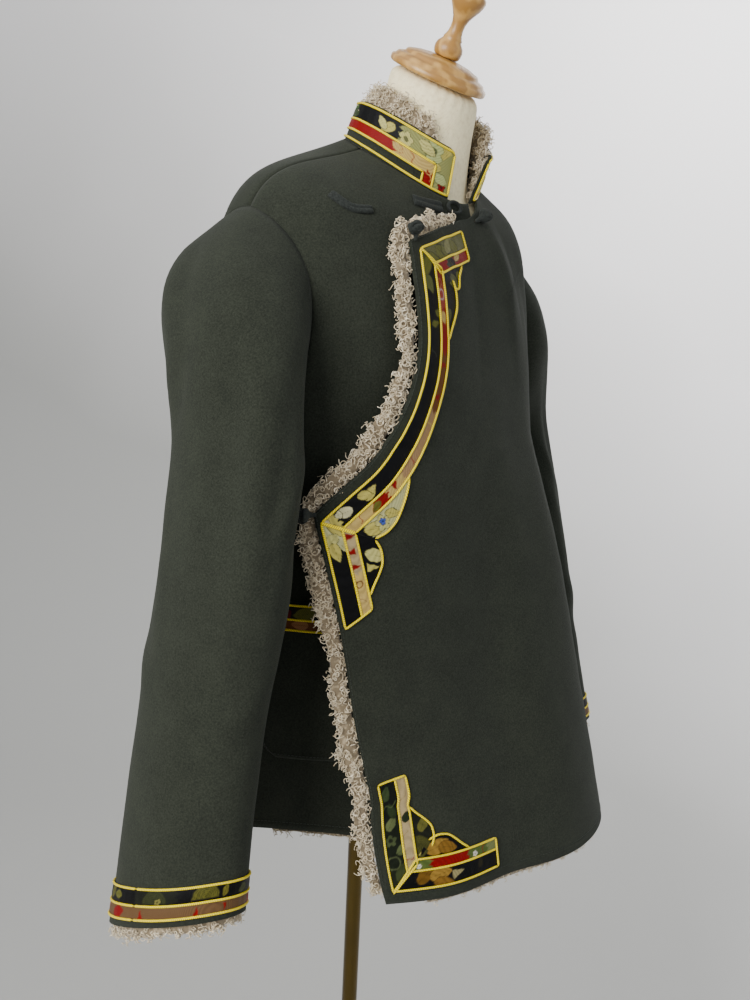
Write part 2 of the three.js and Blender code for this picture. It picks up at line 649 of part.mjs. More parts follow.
function trimProfile(first, start, second) {
  const cordEnd = start + CORD_WIDTH;
  const middle = cordEnd + first;
  const middleEnd = middle + CORD_WIDTH;
  const far = middleEnd + second;
  const crest = CORD_HEIGHT;
  const flat = BAND_HEIGHT;
  return [
    [start, flat], [start + CORD_WIDTH / 2, crest], [cordEnd, flat],
    [middle, flat], [middle + CORD_WIDTH / 2, crest], [middleEnd, flat],
    [far, flat], [far + CORD_WIDTH / 2, crest], [far + CORD_WIDTH, flat],
  ];
}

// Curly fleece shows as a lumpy roll: the swell of section k round a roll.
function lump(k) {
  return 1 + 0.16 * Math.sin(2.4 * k) + 0.09 * Math.sin(5.3 * k + 1);
}

function cuffFleece(sleeve) {
  const { outer, inner } = sleeve;
  const last = outer.length - 1;
  const count = outer[last].length;
  const rings = [];
  for (let k = 0; k < count * 2; k += 1) {
    const j = Math.floor(k / 2);
    const next = (j + (k % 2)) % count;
    const edge = inner[last][j].clone().lerp(inner[last][next], 0.5);
    const face = outer[last][j].clone().lerp(outer[last][next], 0.5);
    const above = outer[last - 1][j].clone().lerp(outer[last - 1][next], 0.5);
    const inward = edge.clone().sub(face).normalize();
    const down = face.sub(above).normalize();
    const { cuffHalf, cuffCover } = FLEECE;
    const reach = (FLEECE.cuffOut * lump(k)) / 2 + cuffCover;
    const centre = moved(edge, inward, cuffHalf + SEAM).addScaledVector(down, reach - 2 * cuffCover);
    rings.push(oval(centre, inward, down, cuffHalf, reach, 6));
  }
  return lofted(rings, true);
}

for (const [name, sections, side] of [["right", SLEEVE_RIGHT, -1], ["left", SLEEVE_LEFT, 1]]) {
  const sleeve = makeSleeve(sections, side);
  addPiece(`sleeve_${name}`, wall(sleeve.outer, sleeve.inner, true), COLOURS.cloth);
  const profile = trimProfile(CUFF_TRIM.narrow, CUFF_TRIM.fromEdge, CUFF_TRIM.wide);
  addPiece(`cuff_trim_${name}`, cuffStrip(sleeve, profile), COLOURS.wideBand, 0.5);
  addPiece(`fleece_cuff_${name}`, cuffFleece(sleeve), COLOURS.fleece, 1);
}

// --- the collar ---

// A place on the collar: share 0 at its right end, 1 at its left end, and height above the neckline.
function collarPoint(share, height) {
  const angle = THREE.MathUtils.lerp(COLLAR.rightEnd, COLLAR.leftEnd - 360, share);
  const base = plainBody(angle, 1);
  const middle = vector(0, NECKLINE.y, base.z);
  const inward = middle.sub(base).normalize();
  const up = height / COLLAR.height;
  const leftness = THREE.MathUtils.smoothstep(share, COLLAR.flareFrom, 1);
  const point = moved(base, inward, COLLAR.inset + COLLAR.inward * up);
  const fore = (1 + Math.cos(THREE.MathUtils.degToRad(angle))) / 2;
  const rise = 0.5 + height * THREE.MathUtils.lerp(COLLAR.backShare, 1, fore);
  return point.add(vector(COLLAR.flare * leftness * up, COLLAR.lean * up, rise));
}

function collarNormal(share, height) {
  const round = collarPoint(share + 0.004, height).sub(collarPoint(share - 0.004, height));
  const rise = collarPoint(share, height + 2).sub(collarPoint(share, height - 2));
  return rise.cross(round).normalize();
}

function collarGrid(shares, heights, offset) {
  return heights.map((height, i) =>
    shares.map((share) => moved(collarPoint(share, height), collarNormal(share, height), offset(i, share))),
  );
}

const collarShares = Array.from({ length: COLLAR.steps + 1 }, (_, k) => k / COLLAR.steps);
const collarHeights = [0, 11, 23, 34, COLLAR.height];
addPiece(
  "collar",
  wall(
    collarGrid(collarShares, collarHeights, () => 0),
    collarGrid(collarShares, collarHeights, () => -CLOTH),
  ),
  COLOURS.cloth,
);

// A strip round the collar from its heights and how far each stands off, just short of the collar's ends.
function collarStrip(profile) {
  const { endShare } = COLLAR_TRIM;
  const shares = collarShares.map((share) => THREE.MathUtils.clamp(share, endShare, 1 - endShare));
  const heights = profile.map(([height]) => height);
  const top = collarGrid(shares, heights, (i) => LAID + profile[i][1]);
  return wall(top, collarGrid(shares, heights, () => LAID));
}

const collarBands = trimProfile(COLLAR_TRIM.narrow, COLLAR_TRIM.start, COLLAR_TRIM.wide);
const collarCord = COLLAR_CORD_HEIGHTS.map((height, k) => [height, k === 1 ? CORD_HEIGHT : CORD_FLANK]);
addPiece("collar_trim", collarStrip(collarBands), COLOURS.narrowBand, 0.5);
addPiece("collar_cord", collarStrip(collarCord), COLOURS.cord, 0.4, 0.4);

function collarFleece() {
  const { collarHalf, collarDepth, collarFrom, collarTo, collarSteps } = FLEECE;
  const [low, high] = [30, 40]; // two heights that give the way the collar rises
  const rings = [];
  for (let k = 0; k <= collarSteps; k += 1) {
    const share = THREE.MathUtils.lerp(collarFrom, collarTo, k / collarSteps);
    const atEnd = k === 0 || k === collarSteps ? 0.6 : 1;
    const normal = collarNormal(share, low);
    const rise = collarPoint(share, high).sub(collarPoint(share, low)).normalize();
    const reach = (collarDepth + (FLEECE.collarAbove * lump(k)) / 2) * atEnd;
    const centre = moved(collarPoint(share, COLLAR.height), normal, -(CLOTH + 2 * LAID + collarHalf));
    const middle = moved(centre, rise, reach - collarDepth - COLLAR_DIP);
    rings.push(oval(middle, normal, rise, collarHalf * atEnd, reach, 6));
  }
  return lofted(rings);
}

addPiece("fleece_collar", collarFleece(), COLOURS.fleece, 1);

// --- trims laid along the free edge of the wrapped front ---

// The free edge as places, each with the plain margin between the edge and the trim.
function edgePlaces(levels) {
  const { curve, side } = TRIM_MARGIN;
  return levels.map((level) => {
    const share = THREE.MathUtils.smoothstep(level, SIDE_CORNER - 0.01, SIDE_CORNER + 0.01);
    return { angle: wrapEdge(level), level, margin: THREE.MathUtils.lerp(side, curve, share) };
  });
}

// At each place, the direction over the cloth away from the edge, and how much a corner stretches it.
// A place beside a corner takes the corner's own direction, which makes a mitre.
function inwardDirections(surface, places) {
  const points = places.map(({ angle, level }) => surface(angle, level));
  const found = places.map(({ angle, level }, k) => {
    const normal = outwardOf(surface, angle, level);
    const across = (from, to) => {
      const run = points[to].clone().sub(points[from]);
      return normal.clone().cross(run).normalize();
    };
    const before = across(Math.max(k - 1, 0), Math.max(k, 1));
    const after = across(Math.min(k, places.length - 2), Math.min(k + 1, places.length - 1));
    const direction = before.clone().add(after).normalize();
    return { direction, stretch: 1 / Math.max(direction.dot(before), 0.5) };
  });
  return found.map((own, k) => {
    if (places[k + 1]?.corner) return found[k + 1];
    if (places[k - 1]?.corner) return found[k - 1];
    return own;
  });
}

// A strip beside a line of places. Each row of its profile gives a distance over the cloth, which may
// change from place to place, and a height. Corners marked as ridges are raised right across.
function laidStrip(panel, places, profile, gap = LAID) {
  const directions = inwardDirections(panel.surface, places);
  const grid = profile.map(([distance]) =>
    places.map((place, k) => {
      const { direction, stretch } = directions[k];
      const reach = typeof distance === "function" ? distance(k) : distance;
      return walk(panel.surface, place, direction, (place.margin + reach) * stretch);
    }),
  );
  const under = seated(panel, grid, gap);
  const top = under.map((row, i) =>
    row.map(({ point, normal }, k) => moved(point, normal, (places[k].corner ? CORD_HEIGHT : profile[i][1]))),
  );
  return wall(top, under.map((row) => row.map(({ point }) => point)));
}

// Levels of the free edge under the breast trim: part of the top edge, the curve and part of the side.
const TOP_CORNER = BREAST_EDGE.levels.at(-1);
const SIDE_CORNER = SIDE_EDGE.levels.at(-1);
const NEAR = 0.0016; // a level step of about a millimetre, either side of a corner

function levelAtDistance(startLevel, distance, step) {
  let level = startLevel;
  let gone = 0;
  let last = wrapSurface(wrapEdge(level), level);
  while (gone < distance) {
    level += step;
    const next = wrapSurface(wrapEdge(level), level);
    gone += next.distanceTo(last);
    last = next;
  }
  return level;
}

function breastTrim() {
  const topEnd = levelAtDistance(TOP_CORNER, TOP_ARM + TRIM_MARGIN.curve, 0.002);
  const sideEnd = levelAtDistance(SIDE_CORNER, SIDE_ARM + TRIM_MARGIN.side, -0.002);
  const topLevels = [0, 0.2, 0.38].map((share) => THREE.MathUtils.lerp(topEnd, TOP_CORNER, share));
  const curve = spread(0.722, 0.541, 10);
  const sideLevels = [0.58, 0.4, 0.2, 0].map((share) => THREE.MathUtils.lerp(sideEnd, SIDE_CORNER, share));
  const levels = [
    ...topLevels, TOP_CORNER + NEAR, TOP_CORNER, TOP_CORNER - NEAR,
    ...curve, SIDE_CORNER + NEAR, SIDE_CORNER, SIDE_CORNER - NEAR, ...sideLevels,
  ];
  const places = edgePlaces(levels);
  for (const corner of [TOP_CORNER, SIDE_CORNER]) places[levels.indexOf(corner)].corner = true;
  return laidStrip(frontLeft, places, trimProfile(WIDE_BAND, 0, NARROW_BAND));
}

addPiece("breast_trim", breastTrim(), COLOURS.wideBand, 0.5);

// The hem corner trim follows the side edge down, then the hem.
const HEM_MM_PER_DEGREE = 4.3;
const HEM_CORNER = { angle: SIDE_EDGE.angles[0], level: 0, margin: TRIM_MARGIN.hem };

function hemTrim() {
  const up = levelAtDistance(0, HEM_ARMS.up + TRIM_MARGIN.hem, 0.002);
  const sidePlaces = edgePlaces([1, 0.84, 0.68, 0.53, 0.38].map((share) => up * share));
  const degrees = (HEM_ARMS.along + TRIM_MARGIN.side) / HEM_MM_PER_DEGREE;
  const hemPlaces = [0.38, 0.53, 0.68, 0.84, 1].map((share) => {
    return { ...HEM_CORNER, angle: HEM_CORNER.angle + degrees * share };
  });
  const beforeCorner = { ...HEM_CORNER, angle: wrapEdge(NEAR), level: NEAR };
  const afterCorner = { ...HEM_CORNER, angle: HEM_CORNER.angle + 0.25 };
  const places = [
    ...sidePlaces, beforeCorner, { ...HEM_CORNER, corner: true }, afterCorner, ...hemPlaces,
  ];
  return laidStrip(frontLeft, places, trimProfile(WIDE_BAND, 0, NARROW_BAND));
}

addPiece("hem_corner_trim", hemTrim(), COLOURS.wideBand, 0.5);

// A scalloped piece between the two arms of a corner, with a cord round its outer edge.
function scallop(cornerPlace, armOne, armTwo) {
  const places = [...SCALLOP.along.map(armOne), cornerPlace, ...SCALLOP.along.map(armTwo).reverse()];
  const outs = [...SCALLOP.out, SCALLOP.cusp, ...[...SCALLOP.out].reverse()];
  const reach = (k) => SCALLOP_START + outs[k];
  const profile = [
    [SCALLOP_START, BAND_HEIGHT],
    [(k) => SCALLOP_START + outs[k] * 0.5, BAND_HEIGHT],
    [(k) => Math.max(reach(k) - CORD_WIDTH, SCALLOP_START + outs[k] * 0.6), BAND_HEIGHT],
    [(k) => Math.max(reach(k) - CORD_WIDTH / 2, SCALLOP_START + outs[k] * 0.8), CORD_HEIGHT],
    [reach, BAND_HEIGHT],
  ];
  return laidStrip(frontLeft, places, profile);
}

// A place on the free edge at a distance along it from one of its corners.
function alongEdge(cornerLevel, step, offset, share = 1) {
  return (distance) => edgePlaces([levelAtDistance(cornerLevel, offset + distance * share, step)])[0];
}

const TRIM_WIDTH = 3 * CORD_WIDTH + WIDE_BAND + NARROW_BAND;
const SCALLOP_START = TRIM_WIDTH + 1.2;
const INNER_CORNER = { breast: 26, side: 22, hem: 28 }; // along an arm, from the corner of the cloth

addPiece(
  "scallop_breast",
  scallop(
    edgePlaces([TOP_CORNER])[0],
    alongEdge(TOP_CORNER, 0.001, INNER_CORNER.breast, 0.62),
    alongEdge(TOP_CORNER, -0.001, INNER_CORNER.breast),
  ),
  COLOURS.wideBand,
  0.5,
);
addPiece(
  "scallop_side",
  scallop(
    edgePlaces([SIDE_CORNER + NEAR])[0],
    alongEdge(SIDE_CORNER, 0.001, INNER_CORNER.side),
    alongEdge(SIDE_CORNER, -0.001, INNER_CORNER.side),
  ),
  COLOURS.wideBand,
  0.5,
);

function hemScallop() {
  const alongHem = (distance) => {
    return { ...HEM_CORNER, angle: HEM_CORNER.angle + (INNER_CORNER.hem + distance) / HEM_MM_PER_DEGREE };
  };
  return scallop(HEM_CORNER, alongEdge(0, 0.001, INNER_CORNER.hem), alongHem);
}

addPiece("scallop_hem", hemScallop(), COLOURS.wideBand, 0.5);

// --- pocket ---

function pocketWall() {
  const shares = spread(-1, 1, POCKET.columns + 1);
  const places = POCKET_ROWS.map(({ level, width }) =>
    shares.map((share) => ({ angle: POCKET.angle + POCKET.half * width * share, level })),
  );
  const under = seated(frontRight, places, LAID);
  const top = under.map((row) => row.map(({ point, normal }) => moved(point, normal, CLOTH)));
  return wall(top, under.map((row) => row.map(({ point }) => point)));
}

addPiece("pocket", pocketWall(), COLOURS.cloth);

// The pocket's mouth band: two strips with cords, laid on the pocket just below its top.
function pocketTrim() {
  const { level } = POCKET_ROWS[0];
  const places = spread(0.98, -0.98, 2 * POCKET.columns + 1).map((share) => {
    return { angle: POCKET.angle + POCKET.half * share, level, margin: 1 };
  });
  return laidStrip(frontRight, places, trimProfile(12, 0, 8.5), 2 * LAID + CLOTH + POCKET.spare);
}

addPiece("pocket_trim", pocketTrim(), COLOURS.narrowBand, 0.5);

// --- fleece that shows past the edges ---

// A lumpy roll behind the free edge, reaching past it and thin enough to clear the front below.
function edgeRoll(places) {
  const directions = inwardDirections(wrapSurface, places);
  const last = places.length - 1;
  const rings = places.map(({ angle, level }, k) => {
    const taper = Math.min(1, 0.5 + 0.25 * Math.min(k, last - k));
    const point = wrapSurface(angle, level);
    const normal = outwardOf(wrapSurface, angle, level);
    const room = wrapLift(angle, point.z - HEM_Z) - CLOTH - 3 * LAID;
    const thick = THREE.MathUtils.clamp(room, FLEECE.edgeThin, FLEECE.edgeThick);
    const reach = FLEECE.edgeReach * lump(k) * taper;
    const centre = moved(point, directions[k].direction, FLEECE.edgeCover - reach);
    centre.addScaledVector(normal, -(CLOTH + LAID + thick / 2));
    return oval(centre, normal, directions[k].direction, thick / 2, reach, 6);
  });
  return lofted(rings);
}

const ROLL_LEVELS = [
  ...spread(0.94, TOP_CORNER + 0.012, 7),
  ...spread(TOP_CORNER, SIDE_CORNER, 17),
  ...spread(SIDE_CORNER - 0.03, 0.012, 15),
];
addPiece("fleece_edge", edgeRoll(edgePlaces(ROLL_LEVELS)), COLOURS.fleece, 1);

function hemRoll(panel, trimmed) {
  const cells = panel.rows[0].slice(trimmed[0], panel.rows[0].length - trimmed[1]);
  const rings = [];
  for (let k = 0; k < cells.length * 2 - 1; k += 1) {
    const one = cells[Math.floor(k / 2)];
    const two = cells[Math.ceil(k / 2)];
    const point = one.point.clone().lerp(two.point, 0.5);
    const normal = one.normal.clone().lerp(two.normal, 0.5).normalize();
    const { hemReach, hemHalf } = FLEECE;
    const below = vector(0, 0, 1 - hemReach * 0.4);
    const centre = moved(point, normal, -(CLOTH + SEAM + hemHalf)).add(below);
    rings.push(oval(centre, normal, vector(0, 0, 1), hemHalf, hemReach * lump(k), 6));
  }
  return lofted(rings);
}

addPiece("fleece_hem_back", hemRoll(back, [1, 1]), COLOURS.fleece, 1);
addPiece("fleece_hem_right", hemRoll(frontRight, [1, 0]), COLOURS.fleece, 1);
addPiece("fleece_hem_left", hemRoll(frontLeft, [1, 1]), COLOURS.fleece, 1);

// --- knotted closures, left open ---

function closureStrip(panel, { angles, levels, width }) {
  const stations = spread(0, angles.length - 1, 3 * (angles.length - 1) + 1);
  const order = angles.map((_, k) => k);
  const places = stations.map((at) => {
    return { angle: smoothTable(order, angles, at), level: smoothTable(order, levels, at), margin: 0 };
  });
  const [edge, crest, dip] = [STRIP_THICK / 2, STRIP_THICK, STRIP_THICK * 0.6];
  const profile = [
    [-width / 2, edge], [-width / 3, crest], [-width / 8, crest], [0, dip],
    [width / 8, crest], [width / 3, crest], [width / 2, edge],
  ];
  return laidStrip(panel, places, profile);
}

// A knot and its stem: a round roll whose radius swells along a line of places, lying on the cloth.
function knot(panel, from, to) {
  const steps = STEM_AND_BALL.length - 1;
  const points = STEM_AND_BALL.map((radius, k) => {
    const share = k / steps;
    const angle = THREE.MathUtils.lerp(from.angle, to.angle, share);
    const level = THREE.MathUtils.lerp(from.level, to.level, share);
    const { point, normal } = onPanel(panel, angle, level);
    return moved(point, normal, radius + LAID);
  });
  const run = points.at(-1).clone().sub(points[0]).normalize();
  const { normal } = onPanel(panel, from.angle, from.level);
  const across = normal.clone().cross(run).normalize();
  return lofted(STEM_AND_BALL.map((radius, k) => oval(points[k], across, normal, radius, radius, 8)));
}

function loopRing(panel, { angle, level, halfLong, halfWide, radius, steps }) {
  const { point, normal } = onPanel(panel, angle, level);
  const long = vector(0, 0, 1).cross(normal).normalize();
  const wide = normal.clone().cross(long);
  const rings = [];
  for (let k = 0; k < steps; k += 1) {
    const turn = (2 * Math.PI * k) / steps;
    const spoke = long.clone().multiplyScalar(halfLong * Math.cos(turn));
    spoke.addScaledVector(wide, halfWide * Math.sin(turn));
    const centre = moved(point, normal, radius + LAID).add(spoke);
    rings.push(oval(centre, spoke.normalize(), normal, radius, radius, 6));
  }
  return lofted(rings, true);
}

for (const strip of STRIPS) addPiece(strip.name, closureStrip(frontRight, strip), COLOURS.knot);
addPiece("neck_loop", loopRing(frontRight, NECK_LOOP), COLOURS.knot);
for (const { name, from, to } of KNOTS) addPiece(name, knot(frontLeft, from, to), COLOURS.knot);

// --- the dress form and its stand ---

function ringAngles() {
  return Array.from({ length: FORM_STEPS }, (_, k) => (360 * k) / FORM_STEPS - 180);
}

function trunkRing({ height, half, front, back: rear }) {
  return ringAngles().map((angle) => {
    const turn = THREE.MathUtils.degToRad(angle);
    const depth = Math.cos(turn) > 0 ? front : rear;
    return vector(half * Math.sin(turn), -depth * Math.cos(turn), HEM_Z + height);
  });
}

function shoulderRing(level) {
  return ringAngles().map((angle) => {
    return moved(plainBody(angle, level), outwardOf(plainBody, angle, level), -SHOULDER_INSET);
  });
}

function neckRoot() {
  return ringAngles().map((angle) => {
    const point = plainBody(angle, 1);
    const middle = vector(0, NECKLINE.y, point.z);
    return middle.lerp(point, NECK_ROOT.share).sub(vector(0, 0, NECK_ROOT.drop));
  });
}

function neckRing({ height, y, radius }) {
  const tilt = THREE.MathUtils.degToRad(NECK_TILT);
  return ringAngles().map((angle) => {
    const turn = THREE.MathUtils.degToRad(angle);
    const fore = radius * Math.cos(turn);
    return vector(radius * Math.sin(turn), y - fore * Math.cos(tilt), HEM_Z + height - fore * Math.sin(tilt));
  });
}

const torsoRings = [
  ...TRUNK_ROWS.map(trunkRing),
  ...SHOULDER_LEVELS.map(shoulderRing),
  neckRoot(),
  ...NECK_ROWS.map(neckRing),
];
addPiece("form_torso", lofted(torsoRings), COLOURS.linen, 0.95);

function turned(profile) {
  const outline = profile.map(([radius, height]) => new THREE.Vector2(radius, height));
  return new THREE.LatheGeometry(outline, ROUND_STEPS).rotateX(Math.PI / 2);
}

// A turned piece stood on the neck, at a distance along the neck's leaning axis.
function onNeck(name, profile, along) {
  const piece = addPiece(name, turned(profile), COLOURS.wood, 0.45);
  const top = NECK_ROWS.at(-1);
  const tilt = THREE.MathUtils.degToRad(NECK_TILT);
  piece.rotation.x = tilt;
  const axis = vector(0, -Math.sin(tilt), Math.cos(tilt));
  piece.position.copy(moved(vector(0, top.y, HEM_Z + top.height), axis, along));
}

onNeck("form_cap", CAP_PROFILE, SEAM);
onNeck("form_finial", FINIAL_PROFILE, CAP_PROFILE.at(-1)[1] + 2 * SEAM);

const POLE_FOOT = BASE_PROFILE.at(-1)[1] + SEAM;
const POLE_TOP = HEM_Z + TRUNK_ROWS[0].height - SEAM;
const poleShape = new THREE.CylinderGeometry(POLE_RADIUS, POLE_RADIUS, POLE_TOP - POLE_FOOT, ROUND_STEPS / 2);
const pole = addPiece("form_pole", poleShape.rotateX(Math.PI / 2), COLOURS.pole, 0.25, 0.9);
pole.position.z = (POLE_TOP + POLE_FOOT) / 2;
addPiece("form_base", turned(BASE_PROFILE), COLOURS.pole, 0.35, 0.8);

export default part;
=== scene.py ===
import math

import bmesh
import bpy
import numpy as np
from mathutils import Matrix, Vector


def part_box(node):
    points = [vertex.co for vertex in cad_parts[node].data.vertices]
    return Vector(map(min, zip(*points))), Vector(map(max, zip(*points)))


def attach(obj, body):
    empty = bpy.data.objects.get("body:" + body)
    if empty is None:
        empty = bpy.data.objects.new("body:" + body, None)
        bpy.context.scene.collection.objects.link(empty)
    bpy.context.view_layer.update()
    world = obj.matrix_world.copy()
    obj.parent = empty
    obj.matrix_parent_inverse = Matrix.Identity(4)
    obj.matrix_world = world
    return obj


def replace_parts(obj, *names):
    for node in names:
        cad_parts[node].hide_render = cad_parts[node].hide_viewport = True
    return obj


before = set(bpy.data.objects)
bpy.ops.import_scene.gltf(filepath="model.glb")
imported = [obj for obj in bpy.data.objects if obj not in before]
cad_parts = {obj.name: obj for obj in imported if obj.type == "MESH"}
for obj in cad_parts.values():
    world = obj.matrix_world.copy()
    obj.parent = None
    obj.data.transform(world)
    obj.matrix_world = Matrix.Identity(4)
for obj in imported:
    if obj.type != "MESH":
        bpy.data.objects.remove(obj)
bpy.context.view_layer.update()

# --- camera ---
# A camera on a tripod at chest height, a metre from the coat and in front of its right shoulder. It is
# tipped down a little, so that the cap of the form and the cuff both fit in a tall frame.

camera_distance = 1.023
camera_height = 1.285
camera_azimuth = math.radians(-47.504)
camera_pan = math.radians(-0.223)
camera_tilt = math.radians(10.228)
camera_roll = math.radians(2.578)
focal_px = 959.57  # for a frame 1000 px high
sensor_mm = 36

level_aim = Vector((-math.sin(camera_azimuth), math.cos(camera_azimuth), 0))
level_aim.rotate(Matrix.Rotation(camera_pan, 3, "Z"))
aim = level_aim * math.cos(camera_tilt) - Vector((0, 0, math.sin(camera_tilt)))
level_right = level_aim.cross(Vector((0, 0, 1))).normalized()
level_up = level_right.cross(aim)
camera_right = level_right * math.cos(camera_roll) + level_up * math.sin(camera_roll)
camera_up = level_up * math.cos(camera_roll) - level_right * math.sin(camera_roll)



def in_scene(name, data):
    made = bpy.data.objects.new(name, data)
    bpy.context.scene.collection.objects.link(made)
    return made


camera_data = bpy.data.cameras.new("camera")
camera_data.sensor_width = sensor_mm
camera_data.lens = focal_px / 1000 * sensor_mm
camera = in_scene("camera", camera_data)
turned = Matrix((camera_right, camera_up, -aim)).transposed().to_4x4()
turned.translation = Vector((
    math.sin(camera_azimuth) * camera_distance,
    -math.cos(camera_azimuth) * camera_distance,
    camera_height,
))
camera.matrix_world = turned
bpy.context.scene.camera = camera

# --- stand: base and pole ---
# A spun steel disc with a socket at its middle holds a straight pole. Both are polished and plated in a
# dark brass tone, with faint rubbing along the pole.

MM = 0.001


def new_material(name):
    """Two functions of a new material: one adds a node and gives an output, one sets the shader.

    Names in capitals are inputs, to be set or linked, and the others are a node's settings. Terms are
    inputs that have no names of their own.
    """
    material = bpy.data.materials.new(name)
    material.use_nodes = True
    tree = material.node_tree

    def put(socket, value):
        if isinstance(value, bpy.types.NodeSocket):
            tree.links.new(value, socket)
        else:
            socket.default_value = value

    def fill(node, values):
        for key, value in values.items():
            if key == "terms":
                for socket, term in zip(node.inputs, value):
                    put(socket, term)
            elif key[0].isupper():
                put(node.inputs[key.replace("_", " ")], value)
            else:
                setattr(node, key, value)

    def add(kind, output, **values):
        node = tree.nodes.new("ShaderNode" + kind)
        fill(node, values)
        return node.outputs[output]

    def shade(**values):
        fill(tree.nodes["Principled BSDF"], values)
        return material

    return add, shade


def toned(add, share, low, high):
    """A colour between two, each given as (share, colour)."""
    tone = add("ValToRGB", "Color", Fac=share)
    for stop, (place, colour) in zip(tone.node.color_ramp.elements, (low, high)):
        stop.position = place
        stop.color = (*colour, 1)
    return tone


def smooth_object(bm, name, material):
    mesh = bpy.data.meshes.new(name)
    bm.to_mesh(mesh)
    bm.free()
    mesh.materials.append(material)
    mesh.polygons.foreach_set("use_smooth", [True] * len(mesh.polygons))
    return in_scene(name, mesh)


def piece_from(bm, name, material, smooth_angle=40):
    """Makes a bmesh, in metres, into a piece that rides on the part."""
    piece = smooth_object(bm, name, material)
    piece.data.set_sharp_from_angle(angle=math.radians(smooth_angle))
    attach(piece, "root")
    return piece


def lathe(profile, steps):
    """A bmesh spun from a profile of (radius, height) in mm about Z."""
    bm = bmesh.new()
    points = [bm.verts.new((radius * MM, 0, height * MM)) for radius, height in profile]
    edges = [bm.edges.new(pair) for pair in zip(points, points[1:])]
    bmesh.ops.spin(
        bm, geom=points + edges, cent=(0, 0, 0), axis=(0, 0, 1),
        angle=math.tau, steps=steps, use_merge=True,
    )
    bmesh.ops.remove_doubles(bm, verts=bm.verts, dist=1e-5)
    bmesh.ops.recalc_face_normals(bm, faces=bm.faces)
    return bm


def rounded(profile, radius, arc_steps=4):
    """The profile with its inner corners rounded."""
    rounded_profile = [profile[0]]
    for before, corner, after in zip(profile, profile[1:], profile[2:]):
        corner = Vector(corner)
        into = Vector(before) - corner
        out = Vector(after) - corner
        reach = min(radius, into.length * 0.45, out.length * 0.45)
        start = corner + into.normalized() * reach
        end = corner + out.normalized() * reach
        for k in range(arc_steps + 1):
            share = k / arc_steps
            point = start * (1 - share) ** 2 + corner * (2 * share * (1 - share)) + end * share**2
            rounded_profile.append(tuple(point))
    return rounded_profile + [profile[-1]]


def plated_steel():
    add, shade = new_material("plated_steel")
    place = add("TexCoord", "Object")
    stretched = add("Mapping", "Vector", Vector=place, Scale=(400, 400, 6))
    drawn = add("TexNoise", "Fac", Vector=stretched, Scale=1.0, Detail=4.0)
    patches = add("TexNoise", "Fac", Vector=place, Scale=9.0)
    return shade(
        Base_Color=toned(add, patches, (0, (0.055, 0.034, 0.004)), (1, (0.135, 0.088, 0.012))),
        Roughness=add("MapRange", "Result", Value=drawn, To_Min=0.14, To_Max=0.34),
        Metallic=1.0, Coat_Weight=0.35, Coat_Roughness=0.12,
    )


plated = plated_steel()
base_profile = [
    (0, 0), (165, 0), (168, 3), (168, 9), (162, 15), (40, 20), (27, 22), (24, 26), (24, 40), (0, 40),
]
base = piece_from(lathe(rounded(base_profile, 3), 128), "stand_base", plated)
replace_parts(base, "form_base")

pole_low, pole_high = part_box("form_pole")
pole_radius_mm = (pole_high.x - pole_low.x) / MM / 2
pole_profile = [
    (0, pole_low.z / MM), (pole_radius_mm, pole_low.z / MM),
    (pole_radius_mm, pole_high.z / MM), (0, pole_high.z / MM),
]
pole = piece_from(lathe(rounded(pole_profile, 0.8), 48), "stand_pole", plated)
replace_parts(pole, "form_pole")

# --- dress form: torso, neck cap and finial ---
# A padded torso with no arms is covered in unbleached linen, drawn tight and closed under a turned wooden
# cap. The cap and the finial screwed into it are clear-varnished rubberwood.


def softened(piece, levels):
    soften = piece.modifiers.new("soften", "SUBSURF")
    soften.levels = levels
    soften.render_levels = levels
    return piece


def whole_mesh(node):
    """A bmesh copy of a CAD node's mesh, with its split corners merged."""
    bm = bmesh.new()
    bm.from_mesh(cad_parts[node].data)
    bmesh.ops.remove_doubles(bm, verts=bm.verts, dist=2e-5)
    bmesh.ops.recalc_face_normals(bm, faces=bm.faces)
    return bm


def copy_of_node(node, name, material, levels):
    """A smooth piece made from a CAD node's mesh."""
    piece = softened(piece_from(whole_mesh(node), name, material, smooth_angle=180), levels)
    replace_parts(piece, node)


def bumped(add, height, strength, depth_mm, **over):
    return add("Bump", "Normal", Strength=strength, Distance=depth_mm * MM, Height=height, **over)


def woven(add, place, threads_per_m):
    """Two crossed thread patterns."""
    threads = [
        add(
            "TexWave", "Fac", wave_type="BANDS", bands_direction=direction, Vector=place,
            Scale=threads_per_m * math.tau / 20, Distortion=1.2, Detail=2.0,
        )
        for direction in ("X", "Y")
    ]
    return add("Math", "Value", operation="MULTIPLY", terms=threads)


def weighed(add, first, weight, second):
    return add("Math", "Value", operation="MULTIPLY_ADD", terms=(first, weight, second))


def unbleached_linen():
    add, shade = new_material("unbleached_linen")
    place = add("TexCoord", "Object")
    weave = woven(add, add("Mapping", "Vector", Vector=place, Rotation=(0.5, 0.3, 0.8)), 900)
    slub = add("TexNoise", "Fac", Vector=place, Scale=260.0, Detail=5.0)
    both = weighed(add, weave, 0.35, slub)
    return shade(
        Base_Color=toned(add, both, (0.2, (0.76, 0.64, 0.37)), (0.62, (0.98, 0.88, 0.57))),
        Roughness=0.92, Sheen_Weight=0.15, Specular_IOR_Level=0.25, Normal=bumped(add, weave, 0.16, 0.4),
    )


copy_of_node("form_torso", "form_torso_linen", unbleached_linen(), 2)


